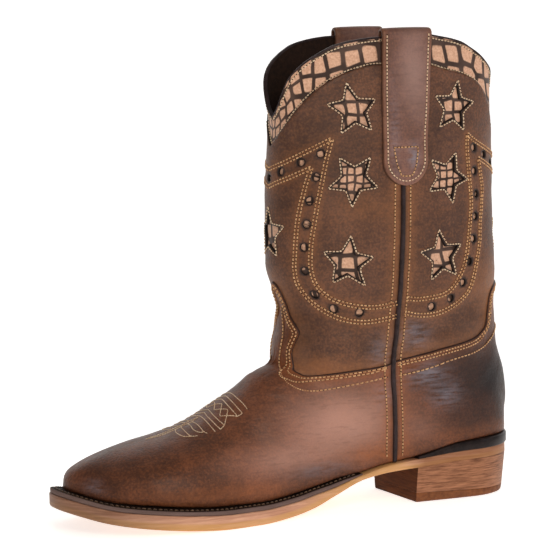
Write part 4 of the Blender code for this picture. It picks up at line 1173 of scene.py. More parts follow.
# Croc print at the collar: plate sizes against the arc from the front line
CROC_ARCS = (0.0, 20.0, 34.0, 48.0)
CROC_WIDE = (5.4, 6.0, 8.6, 10.6)
CROC_TALL = (6.0, 6.5, 10.5, 12.2)
CROC_FOLLOW = 0.6  # how far its rows of plates follow the collar's curve
CROC_LEVEL = 258.0  # height that they keep to otherwise
CROC_DROP = 6.0  # distance of a row's middle below that
# Plates behind the stars: lowest and highest height, width, height, shift across and up
CROC_STARS = (
    (0.0, 166.0, 9.4, 9.0, 0.69, 0.24),
    (166.0, 210.0, 4.9, 4.9, 0.3, 0.2),
    (210.0, 300.0, 7.8, 7.8, 0.2, 0.6),
)
CROC_STAR_CLEAR = 4.0  # these plates end this far below the panel's top


def croc_plane(theta, z):
    """Plate coordinates of the croc print: large plates at the sides, smaller towards the front."""
    arc = ARCS.arc_of(theta, z)
    far = np.abs(arc)
    fine, step = np.linspace(0, 180, 361, retstep=True)
    across = np.interp(far, fine, np.cumsum(step / np.interp(fine, CROC_ARCS, CROC_WIDE)))
    row = CROC_FOLLOW * collar_at(theta) + (1 - CROC_FOLLOW) * CROC_LEVEL - CROC_DROP
    plane = np.stack([np.sign(arc) * across, (z - row) / np.interp(far, CROC_ARCS, CROC_TALL)], axis=-1)
    for low, high, wide, tall, aside, up in CROC_STARS:
        here = (z >= low) & (z < high) & (z < panel_top_at(theta) - CROC_STAR_CLEAR)
        plane[here] = np.stack([arc / wide + aside, z / tall + up], axis=-1)[here]
    return plane


BINDING_COVER = 0.6  # inlay and lining end this far below the collar's edge, inside the binding


def layer_below(columns, rows, low, depth):
    """Rays, heights, points and faces of a layer at a depth in the upper, from a lower edge to the collar."""
    theta = full_turn(columns)
    heights = spaced_heights(theta, low(theta), collar_at(theta) - BINDING_COVER, rows)
    theta = np.broadcast_to(theta, heights.shape)
    points, _ = skin(theta, heights, -depth)
    return theta, heights, points, grid_faces(*heights.shape, True)


def make_backing():
    """Croc-printed inlay behind the stars and between the panels' tops and the collar."""
    theta, heights, points, faces = layer_below(300, 70, lambda ray: edge_at(ray) - 2, BACKING_DEPTH)
    uv = croc_plane(theta, heights).reshape(-1, 2)
    make_piece("croc_inlay", points, faces, [CROC], uv=uv)


def make_lining():
    """Lining of foot and shaft, facing inward."""
    _, _, points, faces = layer_below(240, 60, feather_of, LINING_DEPTH)
    make_piece("shaft_lining", points, faces[:, ::-1], [LINING])


# Fold of the binding: height from the collar's edge, offset from the outer leather
BINDING_FOLD = (
    (-0.9, -1.3), (-0.2, -1.2), (0.2, -1.5), (0.35, -2.4), (0.2, -3.4), (-0.3, -3.7), (-0.9, -3.6),
)


def make_binding():
    """Narrow folded strip over the collar's cut edge."""
    theta = full_turn(360)
    collar = collar_at(theta)
    rows = [skin(theta, collar + height, offset)[0] for height, offset in BINDING_FOLD]
    faces = grid_faces(len(rows), len(theta), True)
    make_piece("collar_binding", rows, faces, [PIPING])


# Shaft panels with their stars and holes

def star(turn, grow=0.0):
    """Ten corners of a five-pointed star, with a tip up when turn is 0."""
    angle = math.radians(90 + turn) + np.arange(10) * math.pi / 5
    tip = STAR_RADIUS + STAR_TIP_MOVE * grow
    waist = STAR_RADIUS * STAR_WAIST + STAR_WAIST_MOVE * grow
    reach = np.where(np.arange(10) % 2 == 0, tip, waist)
    return np.stack([np.cos(angle), np.sin(angle)], axis=1) * reach[:, None]


def panel_stars(panel, grow=0.0):
    """Outlines of the stars of one panel, in arc from its middle line and height."""
    outlines = []
    for where, arc, height, turn in STAR_ROWS:
        for side in ((1,) if arc == 0.0 else (1, -1)):
            if where == panel:
                outlines.append(star(turn * side, grow) + (arc * side, height))
    return outlines


def panel_holes(panel, radius):
    """Outlines of the punched holes of one panel, in arc from its middle line and height."""
    turn = full_turn(14)
    ring = np.stack([np.cos(turn), np.sin(turn)], axis=1) * radius
    outlines = []
    for arc, height in HOLES[panel]:
        for side in ((1,) if arc == 0 else (1, -1)):
            outlines.append(ring + (arc * side, height))
    return outlines


def closed(polygon, step):
    """Closed outline with points no further apart than about a step, without its repeated end."""
    loop = np.concatenate([polygon, polygon[:1]])
    pieces = []
    for start, end in zip(loop[:-1], loop[1:]):
        count = max(int(round(np.linalg.norm(end - start) / step)), 1)
        pieces.append(start + (end - start) * np.linspace(0, 1, count, endpoint=False)[:, None])
    return np.concatenate(pieces)


def inside_polygon(points, polygon):
    """Even-odd test of points against a closed polygon."""
    x, y = points[:, 0], points[:, 1]
    inside = np.zeros(len(points), bool)
    for (x0, y0), (x1, y1) in zip(polygon, np.roll(polygon, -1, axis=0)):
        if y0 != y1:
            inside ^= ((y0 > y) != (y1 > y)) & (x < (x1 - x0) * (y - y0) / (y1 - y0) + x0)
    return inside


def panel_foot(panel, side, tuck=1.6):
    """Lower edge of a panel from its middle line outwards, tucked under the vamp or the counter."""
    line = beside(cut_line(side), -tuck)
    line = line[line[:, 0] > 0.5]
    if panel == "back":
        line[:, 0] = ARCS.reach(line[:, 1], side) - line[:, 0]
        line = line[line[:, 0] > 0.5][::-1]
    return np.concatenate([[(0.0, line[0, 1])], line])


PANEL_TURN = 0.56 * math.pi  # rays of a panel's top, from its middle line to a little past the side seam
PANEL_HEIGHTS = (82.0, 254.0)  # heights between which the side seam is followed
UNDER_PIPING = 0.7  # the panels end this far from the middle of the piping
CORNER_CLEAR = 0.5  # least distance between the lines that meet at a panel's corner


def panel_outline(panel):
    """Edge of a panel in arc from its middle line and height, tucked under vamp, counter and piping."""
    halves = []
    for _, side in SIDES:
        turn = np.linspace(0, PANEL_TURN, 60)
        theta = math.pi - turn if panel == "front" else turn
        theta = theta if side < 0 else TAU - theta
        top = panel_top_at(theta)
        low = panel_foot(panel, side)
        high = np.stack([panel_arc(panel, theta, top, side), top], axis=1)
        heights = np.linspace(*PANEL_HEIGHTS, 60)
        seam_theta = ARCS.theta_at_place(seam_place(heights), heights, side)
        seam = np.stack([panel_arc(panel, seam_theta, heights, side) - UNDER_PIPING, heights], axis=1)
        low = low[low[:, 0] < np.interp(low[:, 1], seam[:, 1], seam[:, 0]) - CORNER_CLEAR]
        high = high[high[:, 0] < np.interp(high[:, 1], seam[:, 1], seam[:, 0]) - CORNER_CLEAR]
        above, below = seam[:, 1] > low[-1, 1] + CORNER_CLEAR, seam[:, 1] < high[-1, 1] - CORNER_CLEAR
        seam = seam[above & below]
        halves.append(np.concatenate([low, seam, high[::-1]]))
    lateral, medial = halves
    return np.concatenate([lateral, medial[-2:0:-1] * (-1.0, 1.0)])


SHOULDER = 0.5  # width of the rounded shoulder beside a star's cut edge, darkened with painted shade
HOLE_SHOULDER = 0.6  # and beside a hole's
FILL_STEP = 2.0  # spacing of the points inside a panel
FILL_WIDE, FILL_LOW, FILL_HIGH = 96.0, 78.0, 258.0  # region that holds either panel
EDGE_DROP = 0.35  # how far a panel's face falls at its cut edges
BAND_RUB = (0.45, 3.4)  # rub along the rows of the horseshoe band: amount, width


def flat_panel(panel):
    """Panel cut out of the plane of arc and height: its points, triangles, cuts and their shoulders."""
    outline = closed(panel_outline(panel), 1.6)
    cuts = [closed(cut, 1.5) for cut in panel_stars(panel)] + panel_holes(panel, HOLE_RADIUS)
    shoulders = [closed(cut, 1.5) for cut in panel_stars(panel, SHOULDER)]
    shoulders += panel_holes(panel, HOLE_RADIUS + HOLE_SHOULDER)
    points, edges = [], []
    for loop in [outline] + cuts + shoulders:
        first = len(points)
        points.extend(loop.tolist())
        edges.extend((first + k, first + (k + 1) % len(loop)) for k in range(len(loop)))
    columns = np.arange(-FILL_WIDE, FILL_WIDE + 0.1, FILL_STEP)
    across, up = np.meshgrid(columns, np.arange(FILL_LOW, FILL_HIGH, FILL_STEP))
    across = across + (np.arange(len(across)) % 2)[:, None]
    filling = np.stack([across.ravel(), up.ravel()], axis=1)
    wanted = inside_polygon(filling, outline)
    for loop in shoulders:
        wanted &= ~inside_polygon(filling, loop)
    points.extend(filling[wanted].tolist())
    flat, _, triangles, *_ = delaunay_2d_cdt([Vector(p) for p in points], edges, [], 0, 1e-4)
    flat = np.array([tuple(p) for p in flat])
    triangles = np.array([tuple(t) for t in triangles])
    centres = flat[triangles].mean(axis=1)
    wanted = inside_polygon(centres, outline)
    for cut in cuts:
        wanted &= ~inside_polygon(centres, cut)
    used, order = np.unique(triangles[wanted], return_inverse=True)
    return flat[used], order.reshape(-1, 3), np.concatenate(cuts), np.concatenate(shoulders)


def panel_marks(panel, flat, outer, cuts, shoulders):
    """Wear and painted light of a panel: that of its place on the boot, dark cut edges that are partly
    painted shade, and a rubbed horseshoe band.
    """
    marks = wear_and_light_marks(outer)
    # dark rims round stars and holes: partly the dyed cut edge, partly painted shade
    marks["burnish_and_shade"][on_outline(flat, cuts)] = 1.0
    marks["burnish_and_shade"][on_outline(flat, shoulders)] = 0.8
    amount, width = BAND_RUB
    for line in BAND_LINES[panel]:
        path = smooth_line(line, 2.0)
        for mirror in (1.0, -1.0):
            away = np.min(np.linalg.norm(flat[:, None] - path * (mirror, 1.0), axis=2), axis=1)
            marks["rub_and_highlight"] = np.maximum(marks["rub_and_highlight"], amount * np.exp(-((away / width) ** 2)))
    return marks


def make_panel(panel):
    """Shaft leather with soft cut edges and its stars and holes cut through."""
    flat, triangles, cuts, shoulders = flat_panel(panel)
    border = free_edges(triangles)
    rim = np.unique(border)
    theta = panel_theta(panel, flat[:, 0], flat[:, 1])
    offset = np.zeros(len(flat))
    offset[rim] = -EDGE_DROP
    outer, _ = skin(theta, flat[:, 1], offset)
    below, _ = skin(theta[rim], flat[rim, 1], -BACKING_DEPTH - 0.1)
    lower = np.full(len(flat), -1)
    lower[rim] = len(flat) + np.arange(len(rim))
    walls = np.stack([border[:, 1], border[:, 0], lower[border[:, 0]], lower[border[:, 1]]], axis=1)
    marks = panel_marks(panel, flat, outer, cuts, shoulders)
    marks = {name: np.concatenate([values, np.zeros(len(rim))]) for name, values in marks.items()}
    faces = [tuple(t) for t in triangles] + [tuple(w) for w in walls]
    slots = [0] * len(triangles) + [1] * len(walls)
    if faces_inward(outer, triangles):
        faces = [face[::-1] for face in faces]
    make_piece(f"shaft_{panel}_leather", np.concatenate([outer, below]), faces, [SHAFT, CUT_EDGE],
               [f"shaft_{panel}_panel"], marks=marks, face_slots=slots)


def on_outline(points, outline):
    """True for points that are corners of the outline."""
    return np.min(np.linalg.norm(points[:, None] - outline, axis=2), axis=1) < 0.01


def free_edges(triangles):
    """Edges that belong to one triangle only, in that triangle's direction."""
    both = np.concatenate([triangles[:, [0, 1]], triangles[:, [1, 2]], triangles[:, [2, 0]]])
    key = np.sort(both, axis=1) @ np.array([1 << 32, 1])
    _, first, count = np.unique(key, return_index=True, return_counts=True)
    return both[first[count == 1]]


SHAFT_MIDDLE = (-75.0, 0.0, 0.0)


def faces_inward(points, triangles):
    """True when most of the triangles face the middle of the shaft."""
    a, b, c = (points[triangles[:, k]] for k in range(3))
    out = (a - SHAFT_MIDDLE) * (1, 1, 0)
    return np.sum(np.cross(b - a, c - a) * out) < 0


# Pull straps and piping

STRAP_CROWN = 0.35  # how far the strap swells in its middle
STRAP_EDGE = (1.3, 0.9)  # width of its rounded edges and how far they fall
# Places across the strap, from edge to edge, closer together at the edges
STRAP_MARGIN = np.array((0.88, 0.95, 0.985, 1.0))
STRAP_ACROSS = np.concatenate([-STRAP_MARGIN[::-1], np.linspace(-0.75, 0.75, 11), STRAP_MARGIN])
# Wear along its edges: kind, amount, width
STRAP_EDGE_WEAR = (("rub_and_highlight", 0.55, 2.0), ("burnish_and_shade", 0.5, 0.7))
# Soft spots of wear and of painted sheen: kind, amount, centre on either side, reach
STRAP_WEAR_AND_SHEEN = (
    ("pale", 0.7, (-70, 36, 250), (10, 20, 26)),
    # painted glossy highlight on the patch at the strap's end, and painted sheen along the strap
    ("painted_sheen", 0.9, (-72.5, 38, 203), (3, 20, 6)),
    ("painted_sheen", 0.3, (-84, 36, 215), (3, 20, 30)),
)


def strap_rows(fold):
    """Route of a strap: height on the shaft, extra height over the fold, half width, turn over the collar."""
    rows = []
    round_top = STRAP_END + STRAP_END_ROUND
    for turn in np.radians(np.linspace(8, 90, 12)):
        z = round_top - STRAP_END_ROUND * math.cos(turn)
        rows.append((z, 0.0, STRAP_END_ROUND * math.sin(turn), 0.0))
    for z in np.linspace(round_top + 2, fold, 40):
        rows.append((z, 0.0, float(strap_half(z)), 0.0))
    for turn in np.linspace(0, math.pi, 15)[1:-1]:
        rows.append((fold, math.sin(turn), float(strap_half(fold)), turn))
    for z in np.linspace(fold, STRAP_INSIDE_END, 20):
        rows.append((z, 0.0, float(strap_half(z)), math.pi))
    return rows


def make_strap(name, side):
    """Pull strap from its round end outside, over the collar, to its end inside."""
    fold = STRAP_FOLD + (MEDIAL_RISE if side > 0 else 0.0)
    outside, inside = SEAT_GAP, -(LINING_DEPTH + SEAT_GAP)
    middle, radius = (outside + inside) / 2, (outside - inside) / 2
    z, lift, half, turn = (np.array(values)[:, None] for values in zip(*strap_rows(fold)))
    theta = ARCS.theta_at_place(strap_middle(z) + STRAP_ACROSS * half, z, side)
    z = np.broadcast_to(z, theta.shape)
    edge_width, edge_fall = STRAP_EDGE
    from_edge = (1 - np.abs(STRAP_ACROSS)) * half
    round_edge = np.sqrt(1 - np.clip(1 - from_edge / edge_width, 0, 1) ** 2)
    outer = STRAP_THICK - edge_fall + edge_fall * round_edge + STRAP_CROWN * (1 - STRAP_ACROSS**2)
    layers = []
    for thickness in (outer, np.zeros_like(theta)):
        reach = radius + thickness
        points, _ = skin(theta, z, middle + reach * np.cos(turn))
        points[..., 2] += reach * lift
        layers.append(points)
    points = np.concatenate([layers[0], layers[1][:, ::-1]], axis=1)
    rows, count = points.shape[:2]
    faces = grid_faces(rows, count, True)
    if side > 0:
        faces = faces[:, ::-1]
    ends = [tuple(range(count)), tuple((rows - 1) * count + k for k in range(count))]
    edge = np.concatenate([from_edge, from_edge[:, ::-1]], axis=1)
    marks = {kind: np.zeros_like(edge) for kind in WEAR_AND_LIGHT_KINDS}
    for kind, amount, width in STRAP_EDGE_WEAR:
        marks[kind] += amount * np.exp(-((edge / width) ** 2))
    for kind, amount, centre, size in STRAP_WEAR_AND_SHEEN:
        marks[kind] += amount * soft_spot(points, np.array(centre) * (1, side, 1), size)
    make_piece(f"strap_{name}", points, [tuple(f) for f in faces] + ends, [STRAP],
               [f"pull_strap_{name}"], marks=marks)


def seam_edge(side):
    """Height at which the side seam crosses the edge of vamp and counter."""
    z = np.array([EDGE_RING])
    for _ in range(6):
        z = edge_at(ARCS.theta_at_place(seam_place(z), z, side))
    return float(z[0])


def seam_lift(side):
    """How far the leather stands out beside the side seam at each height."""
    edge = seam_edge(side)
    return lambda x, z: np.where(z < edge + 0.5, edge_rise(np.maximum(edge - z, 0)), 0.0)


SEAM_FOOT = float(feather_height(-SEAM_ROWS[0][1]))  # height of the side seam's lower end
PIPING_HIDDEN = 3.0  # length of the piping's end under the strap
PIPING_SINK = 0.5  # how far its edges lie in the seam
PIPING_STEP = (1.0, 6.0)  # start above the vamp's edge and length of its step down to the shaft


def make_piping(name, side):
    """Rolled strip on the side seam, over the vamp's edge and up under the strap."""
    heights = np.linspace(SEAM_FOOT, PIPING_TOP + PIPING_HIDDEN, 120)
    edge = seam_edge(side)
    start, length = PIPING_STEP
    share = np.clip((heights - edge - start) / length, 0, 1)
    seat = np.where(heights < edge, edge_rise(np.maximum(edge - heights, 0)), EDGE_RISE * (1 - share))
    turn = np.linspace(-0.5 * math.pi, 0.5 * math.pi, 9)
    across, lift = np.sin(turn) * PIPING_WIDTH / 2, np.cos(turn) * PIPING_THICK
    theta = ARCS.theta_at_place(seam_place(heights)[:, None] + across, heights[:, None], side)
    levels = np.broadcast_to(heights[:, None], theta.shape)
    points, _ = skin(theta, levels, seat[:, None] - PIPING_SINK + lift)
    faces = grid_faces(len(heights), len(turn), False)
    if side < 0:
        faces = faces[:, ::-1]
    make_piece(f"piping_{name}", points, faces, [PIPING], [f"side_piping_{name}"])


# Sole, welt, rand and heel

def outline_loop(from_heel, shrink=0.0):
    """Sole outline from the heel along the lateral side to the toe and back along the medial side."""
    lateral = np.stack([-from_heel, -sole_half(from_heel, -1)], axis=1)
    medial = np.stack([-from_heel, sole_half(from_heel, 1)], axis=1)[-2:0:-1]
    loop = np.concatenate([lateral, medial])
    along = np.roll(loop, -1, axis=0) - np.roll(loop, 1, axis=0)
    along /= np.linalg.norm(along, axis=1, keepdims=True)
    inward = np.stack([along[:, 1], -along[:, 0]], axis=1)
    return loop + inward * shrink, np.concatenate([from_heel, from_heel[-2:0:-1]])


def sole_stations(steps, exact=(), clear=0.8):
    """Distances from the heel, closer together towards both ends, with some exact ones among them."""
    even = SOLE_LENGTH * (1 - np.cos(np.linspace(0, math.pi, steps + 1))) / 2
    for place in exact:
        even = np.append(even[np.abs(even - place) > clear], place)
    return np.sort(even)


def capped(rings):
    """Skin through rings of equal count, closed across its first and last ring between the two sides."""
    count = len(rings[0])
    faces = [tuple(face) for face in grid_faces(len(rings), count, True)]
    last = (len(rings) - 1) * count
    for k in range(count // 2):
        loop = list(dict.fromkeys((k, k + 1, (count - k - 1) % count, (count - k) % count)))
        faces.append(tuple(loop))
        faces.append(tuple(last + i for i in loop[::-1]))
    return np.concatenate(rings), faces


# Edge of the outsole from below: inset, share of its thickness, rise, how golden
OUTSOLE_EDGE = (
    (1.4, 0, 0.0, 1.0), (0.45, 0, 0.3, 1.0), (0.0, 0, 1.2, 1.0), (0.0, 0.42, 0, 0.9),
    (0.0, 0.55, 0, 0.0), (0.0, 1, -0.7, 0.0), (0.3, 1, -0.15, 0.0), (1.2, 1, 0, 0.0),
)
HEEL_BEVEL = ((HEEL_BREAST - 3, HEEL_BREAST + 6), (0.15, 1.0))  # the edge is nearly square over the heel
GOLDEN_BELOW = 0.8
# Tones along the sole: distances from the heel, shares of the tone there
SOLE_TONES = {
    "golden": ((70, 84, 118, 150), (0.0, 0.8, 0.8, 0.0)),
    "dusk": ((222, 268), (0.0, 0.9)),
    "brown": ((66, 78), (0.9, 0.0)),
}


def make_outsole():
    """Leather slab with softly bevelled edges."""
    stations = sole_stations(160)
    bevel = np.interp(stations, *HEEL_BEVEL)
    bevel = np.concatenate([bevel, bevel[-2:0:-1]])
    rings, golden = [], []
    for shrink, share, rise, below in OUTSOLE_EDGE:
        loop, _ = outline_loop(stations, shrink * bevel[:, None])
        at = np.maximum(-loop[:, 0], 0)
        heights = sole_underside(at) + outsole_thick(at) * share + rise * bevel
        rings.append(np.concatenate([loop, heights[:, None]], axis=1))
        golden.append(np.full(len(loop), below * GOLDEN_BELOW))
    points, faces = capped(rings)
    marks = {tone: np.interp(-points[:, 0], *row) for tone, row in SOLE_TONES.items()}
    marks["golden"] = np.maximum(np.concatenate(golden), marks["golden"])
    make_piece("leather_outsole", points, faces, [SOLE], ["outsole"], marks=marks)


# Profiles of welt and rand: inset, share of the strip's height, rise, share of the outer face
WELT_PROFILE = (
    (1.0, 0, 0, 1), (WELT_INSET, 0, 0.3, 1), (WELT_INSET, 0.6, 0, 1), (0.9, 0.72, 0, 0.8), (1.6, 0.76, 0, 0),
    (5.4, 0.8, 0, 0), (7.2, 1, 0, 0), (WELT_WIDTH, 1, 0, 0), (WELT_WIDTH, 0, 0, 0),
)
RAND_PROFILE = (
    (-0.5, 0, 0, 1), (-RAND_PROUD, 0.1, 0, 1), (-RAND_PROUD, 0.86, 0, 0), (-0.6, 0.97, 0, 0), (0.2, 1, 0, 0),
    (WELT_WIDTH, 1, 0, 0), (WELT_WIDTH, 0, 0, 0),
)
BAND_GAP = 0.3  # share of the clearance that is left to see under welt and rand


def make_band(name, node, start, end, profile, material):
    """Strip on the sole's edge between two distances from the heel."""
    ends = [place for place in (start, end) if 0 < place < SOLE_LENGTH]
    stations = sole_stations(160, ends)
    sections = []
    for inset, share, rise, _ in profile:
        loop, from_heel = outline_loop(stations, inset)
        at = np.maximum(-loop[:, 0], 0)
        low = outsole_top(at) + SEAT_GAP * BAND_GAP
        heights = low + (welt_top(at) - low) * share + rise
        sections.append(np.concatenate([loop, heights[:, None]], axis=1))
    order = np.arange(len(from_heel))
    if start == 0:
        order = np.roll(order, len(order) // 2)
    chosen = order[(from_heel[order] >= start) & (from_heel[order] <= end)]
    points = np.array(sections)[:, chosen]
    rows, count = points.shape[:2]
    faces = [tuple(face) for face in grid_faces(rows, count, False)]
    faces.append(tuple(r * count for r in range(rows)))
    faces.append(tuple(r * count + count - 1 for r in range(rows))[::-1])
    face = np.repeat([row[3] for row in profile], count)
    make_piece(name, points, faces, [material], [node], marks={"face": face}, sharp=50)


def heel_outline(level, shrink=0.0, steps=48):
    """Plan of the heel at a level, from the back along the lateral side and back along the medial side."""
    turn = np.linspace(0, math.pi / 2, steps + 1)
    from_heel = HEEL_BREAST * (1 - np.cos(turn))
    width = HEEL_TAPER + (1 - HEEL_TAPER) * level
    drawn_in = HEEL_BACK_LEAN * (1 - level)
    place = -(drawn_in + from_heel * (HEEL_BREAST - drawn_in) / HEEL_BREAST)
    lateral = np.stack([place, -sole_half(from_heel, -1) * width], axis=1)
    medial = np.stack([place, sole_half(from_heel, 1) * width], axis=1)
    loop = np.concatenate([lateral, medial[:0:-1]])
    centre = np.array([-HEEL_BREAST / 2, 0.0])
    away = loop - centre
    return loop - away / np.linalg.norm(away, axis=1, keepdims=True) * shrink


def lift_top(from_heel):
    """Height of the top lift's upper face."""
    return np.interp(from_heel, (0.0, HEEL_BREAST), (TOP_LIFT_BACK, TOP_LIFT_FRONT))


# Edges of the heel's blocks from below: inset, share of the way up in plan and in height, rise
LIFT_EDGE = (
    (0.9, 0.0, 0.0, 0.0), (0.25, 0.0, 0.0, 0.25), (0.0, 0.2, 0.0, 0.9), (0.0, 1.0, 1.0, -0.3),
    (0.15, 1.0, 1.0, 0.0),
)
STACK_EDGE = ((0.25, 0.0, 0.0, 0.05), (0.0, 0.0, 0.0, 0.25), (0.0, 1.0, 1.0, -0.15), (0.1, 1.0, 1.0, -0.03))
BREAST_DEPTH = 0.8  # faces this close to the breast have its stain


def make_heel_block(name, node, materials, edge, levels, bottom, top):
    """Block of the heel between two levels of its plan and two heights, which vary from back to breast."""
    rings = []
    for inset, level, share, rise in edge:
        loop = heel_outline(level * levels[1] + (1 - level) * levels[0], inset)
        at = np.maximum(-loop[:, 0], 0)
        heights = bottom(at) * (1 - share) + top(at) * share + rise
        rings.append(np.concatenate([loop, heights[:, None]], axis=1))
    points, faces = capped(rings)
    at_breast = [min(-points[list(face), 0]) > HEEL_BREAST - BREAST_DEPTH for face in faces]
    slots = [1 if front else 0 for front in at_breast]
    make_piece(name, points, faces, materials, [node], face_slots=slots, sharp=40)


def make_heel():
    """Rubber lift on the floor and the stack of leather lifts above it."""
    lift_level = TOP_LIFT_FRONT / float(sole_underside(0.0))
    make_heel_block("rubber_heel_lift", "heel_top_lift", [LIFT, BREAST], LIFT_EDGE,
                    (0.0, lift_level), np.zeros_like, lift_top)
    make_heel_block("stacked_heel", "heel_stack", [STACK, BREAST], STACK_EDGE,
                    (lift_level, 1.0), lift_top, sole_underside)


# Sewing

THREAD_LIFT = 0.1  # rows lie this far above the leather that they are sewn to
STAR_ROW = 1.25  # distance of the row round a star from its cut edge
EDGE_SEAMS = ((1.5, 0.9), (3.4, 0.75))  # rows along the vamp's edge: distance below it, lift
LOWER_ROW_LIFT = 0.3  # lift of the third row, further down
TOP_SEAMS = ((panel_top_at, 0.8), (collar_at, -2.0))  # rows on the inlay: edge, distance above it
SIDE_SEAMS = (4.6, -5.2)  # rows beside the side seam, towards the heel and the toe
STRAP_ROW = 2.6  # distance of the strap's row from its edge
# Small patch at the strap's end: place along the boot, height
STRAP_PATCH = ((-84.5, 208.0), (-69.5, 208.0), (-71.0, 198.0), (-73.5, 191.5), (-80.5, 191.5), (-83.0, 198.0))
PATCH_LIFT = 0.25
WELT_ROW = 3.3  # distance of the welt's row from the sole's edge
WELT_GROOVE = 0.78  # height of the groove in which it lies, as a share of the welt
WELT_ROW_LIFT = 0.2


def sew_shaft(tan, cream):
    """Double rows of the horseshoe bands, and a row round each star."""
    for panel in PANELS:
        for _, side in SIDES:
            place = on_panel(panel, side, THREAD_LIFT)
            for line in BAND_LINES[panel]:
                path = smooth_line(line, 1.5)
                for distance in (DOUBLE_ROW, -DOUBLE_ROW):
                    tan.sew(beside(path, distance), place)
        for outline in panel_stars(panel, STAR_ROW):
            cream.sew(np.concatenate([outline, outline[:1]]), on_panel(panel, -1, THREAD_LIFT), 2.0)


def clear_of_seam(line, side, clear=2.4):
    """Parts of a row in arc and height that lie ahead of the side seam and behind it."""
    seam = np.abs(ARCS.arc_of(ARCS.theta_at_place(seam_place(line[:, 1]), line[:, 1], side), line[:, 1]))
    inside = (line[:, 0] > 0.3) & (line[:, 0] < ARCS.reach(line[:, 1], side) - 0.3)
    ahead, behind = line[:, 0] < seam - clear, line[:, 0] > seam + clear
    parts = line[inside & ahead], line[inside & behind]
    return [part for part in parts if len(part) > 3]


def sew_edges(tan, cream):
    """Rows along the vamp and counter edges, the collar and the tops of the panels."""
    for _, side in SIDES:
        edge = cut_line(side)
        counter_row = np.array(COUNTER_ROW, float)
        counter_row[:, 0] = ARCS.reach(counter_row[:, 1], side) - counter_row[:, 0]
        vamp_row = np.array(VAMP_ROW, float) + (MEDIAL_ROW_SHIFT if side > 0 else 0.0, 0.0)
        rows = [(beside(edge, -below), lift) for below, lift in EDGE_SEAMS]
        rows += [(smooth_line(row, 1.0), LOWER_ROW_LIFT) for row in (vamp_row, counter_row)]
        for row, lift in rows:
            for part in clear_of_seam(row, side):
                tan.sew(part, on_panel("front", side, lift))
        theta = np.linspace(math.pi, 0, 160) if side < 0 else np.linspace(math.pi, TAU, 160)
        for edge_height, above in TOP_SEAMS:
            heights = edge_height(theta)
            line = np.stack([np.abs(ARCS.arc_of(theta, heights)), heights], axis=1)
            row = beside(evenly(line, 1.5), above)
            cream.sew(row[row[:, 0] > 0.3], on_panel("front", side, THREAD_LIFT - BACKING_DEPTH))


def sew_seams(tan):
    """A row on each side of the side seams, from the welt to under the straps."""
    for _, side in SIDES:
        lift = seam_lift(side)
        heights = np.linspace(SEAM_FOOT + 3, PIPING_TOP + 8, 90)
        for away in SIDE_SEAMS:
            line = np.stack([seam_place(heights) + away, heights], axis=1)
            tan.sew(line, at_side(side, lambda x, z: lift(x, z) + THREAD_LIFT))


def sew_straps(tan, cream):
    """A row along each strap's edge, round its end, and the outline of the small patch there."""
    top = SEAT_GAP + STRAP_THICK + THREAD_LIFT
    round_top, inner = STRAP_END + STRAP_END_ROUND, STRAP_END_ROUND - STRAP_ROW
    down = np.linspace(STRAP_FOLD, round_top, 30)
    turn = np.linspace(0, math.pi, 21)[1:-1]
    under = round_top - inner * np.sin(turn)
    route = (
        (strap_middle(down) + strap_half(down) - STRAP_ROW, down),
        (strap_middle(under) + inner * np.cos(turn), under),
        (strap_middle(down[::-1]) - strap_half(down[::-1]) + STRAP_ROW, down[::-1]),
    )
    outline = np.concatenate([np.stack(part, axis=1) for part in route])
    for _, side in SIDES:
        cream.sew(outline, at_side(side, top))
        tan.sew(np.array(STRAP_PATCH + STRAP_PATCH[:1]), at_side(side, top + PATCH_LIFT))


# Toe stitching: lines in plan, x along the boot and y across it, mirrored over the ridge
TOE_LINES = (
    ((-173.9, 0), (-174.4, -10.5), (-173.7, -17.2), (-173.0, -22.0)),
    ((-176.6, 0), (-177.5, -8.6), (-177.3, -17.0), (-176.3, -22.4)),
    ((-179.3, 0), (-180.4, -10.5), (-180.2, -17.2), (-179.4, -22.4)),
    ((-188.0, 0), (-189.3, -10.0), (-189.1, -18.0), (-187.8, -23.3)),
    ((-190.5, 0), (-192.0, -9.2), (-191.9, -18.6), (-190.8, -24.4)),
    ((-193.5, 0), (-194.3, -9.6), (-194.5, -18.6), (-193.9, -24.3)),
    (
        (-194.5, -0.5), (-196.6, -0.6), (-199.0, -2.6), (-199.1, -8.7), (-199.3, -15.4), (-199.3, -20.3),
        (-198.1, -22.8),
    ),
    ((-199.0, -2.6), (-201.3, -2.0), (-202.2, -8.1), (-203.0, -14.5), (-201.5, -19.3), (-199.3, -20.6)),
    ((-201.3, -2.0), (-205.4, -1.4), (-206.8, -8.8), (-207.1, -14.6), (-206.7, -19.0), (-203.3, -21.3)),
    ((-205.4, -1.4), (-209.0, -2.0), (-211.0, -7.3), (-211.0, -12.7), (-209.6, -16.8), (-206.7, -19.0)),
    ((-207.0, -1.6), (-214.0, -1.7), (-220.0, -1.4), (-227.0, 0)),
)
TOE_ZIGZAGS = (
    ((-176.3, -22.4), (-179.4, -22.4)),
    ((-183.6, 0), (-186.8, -6.0), (-181.7, -14.8), (-187.8, -23.3)),
    ((-183.6, 0), (-181.7, -6.2), (-187.4, -15.4), (-179.4, -22.4)),
    ((-190.8, -24.4), (-187.8, -23.3)),
)


def sew_toe(cream):
    """Rows over the top of the foot, close and fine."""
    for path in [smooth_line(line, 1.0) for line in TOE_LINES] + [np.array(line) for line in TOE_ZIGZAGS]:
        for mirror in (1.0, -1.0):
            cream.sew(path * (1.0, mirror), lambda plan: vamp_top(plan[:, 0], plan[:, 1]), 1.6, 0.94)


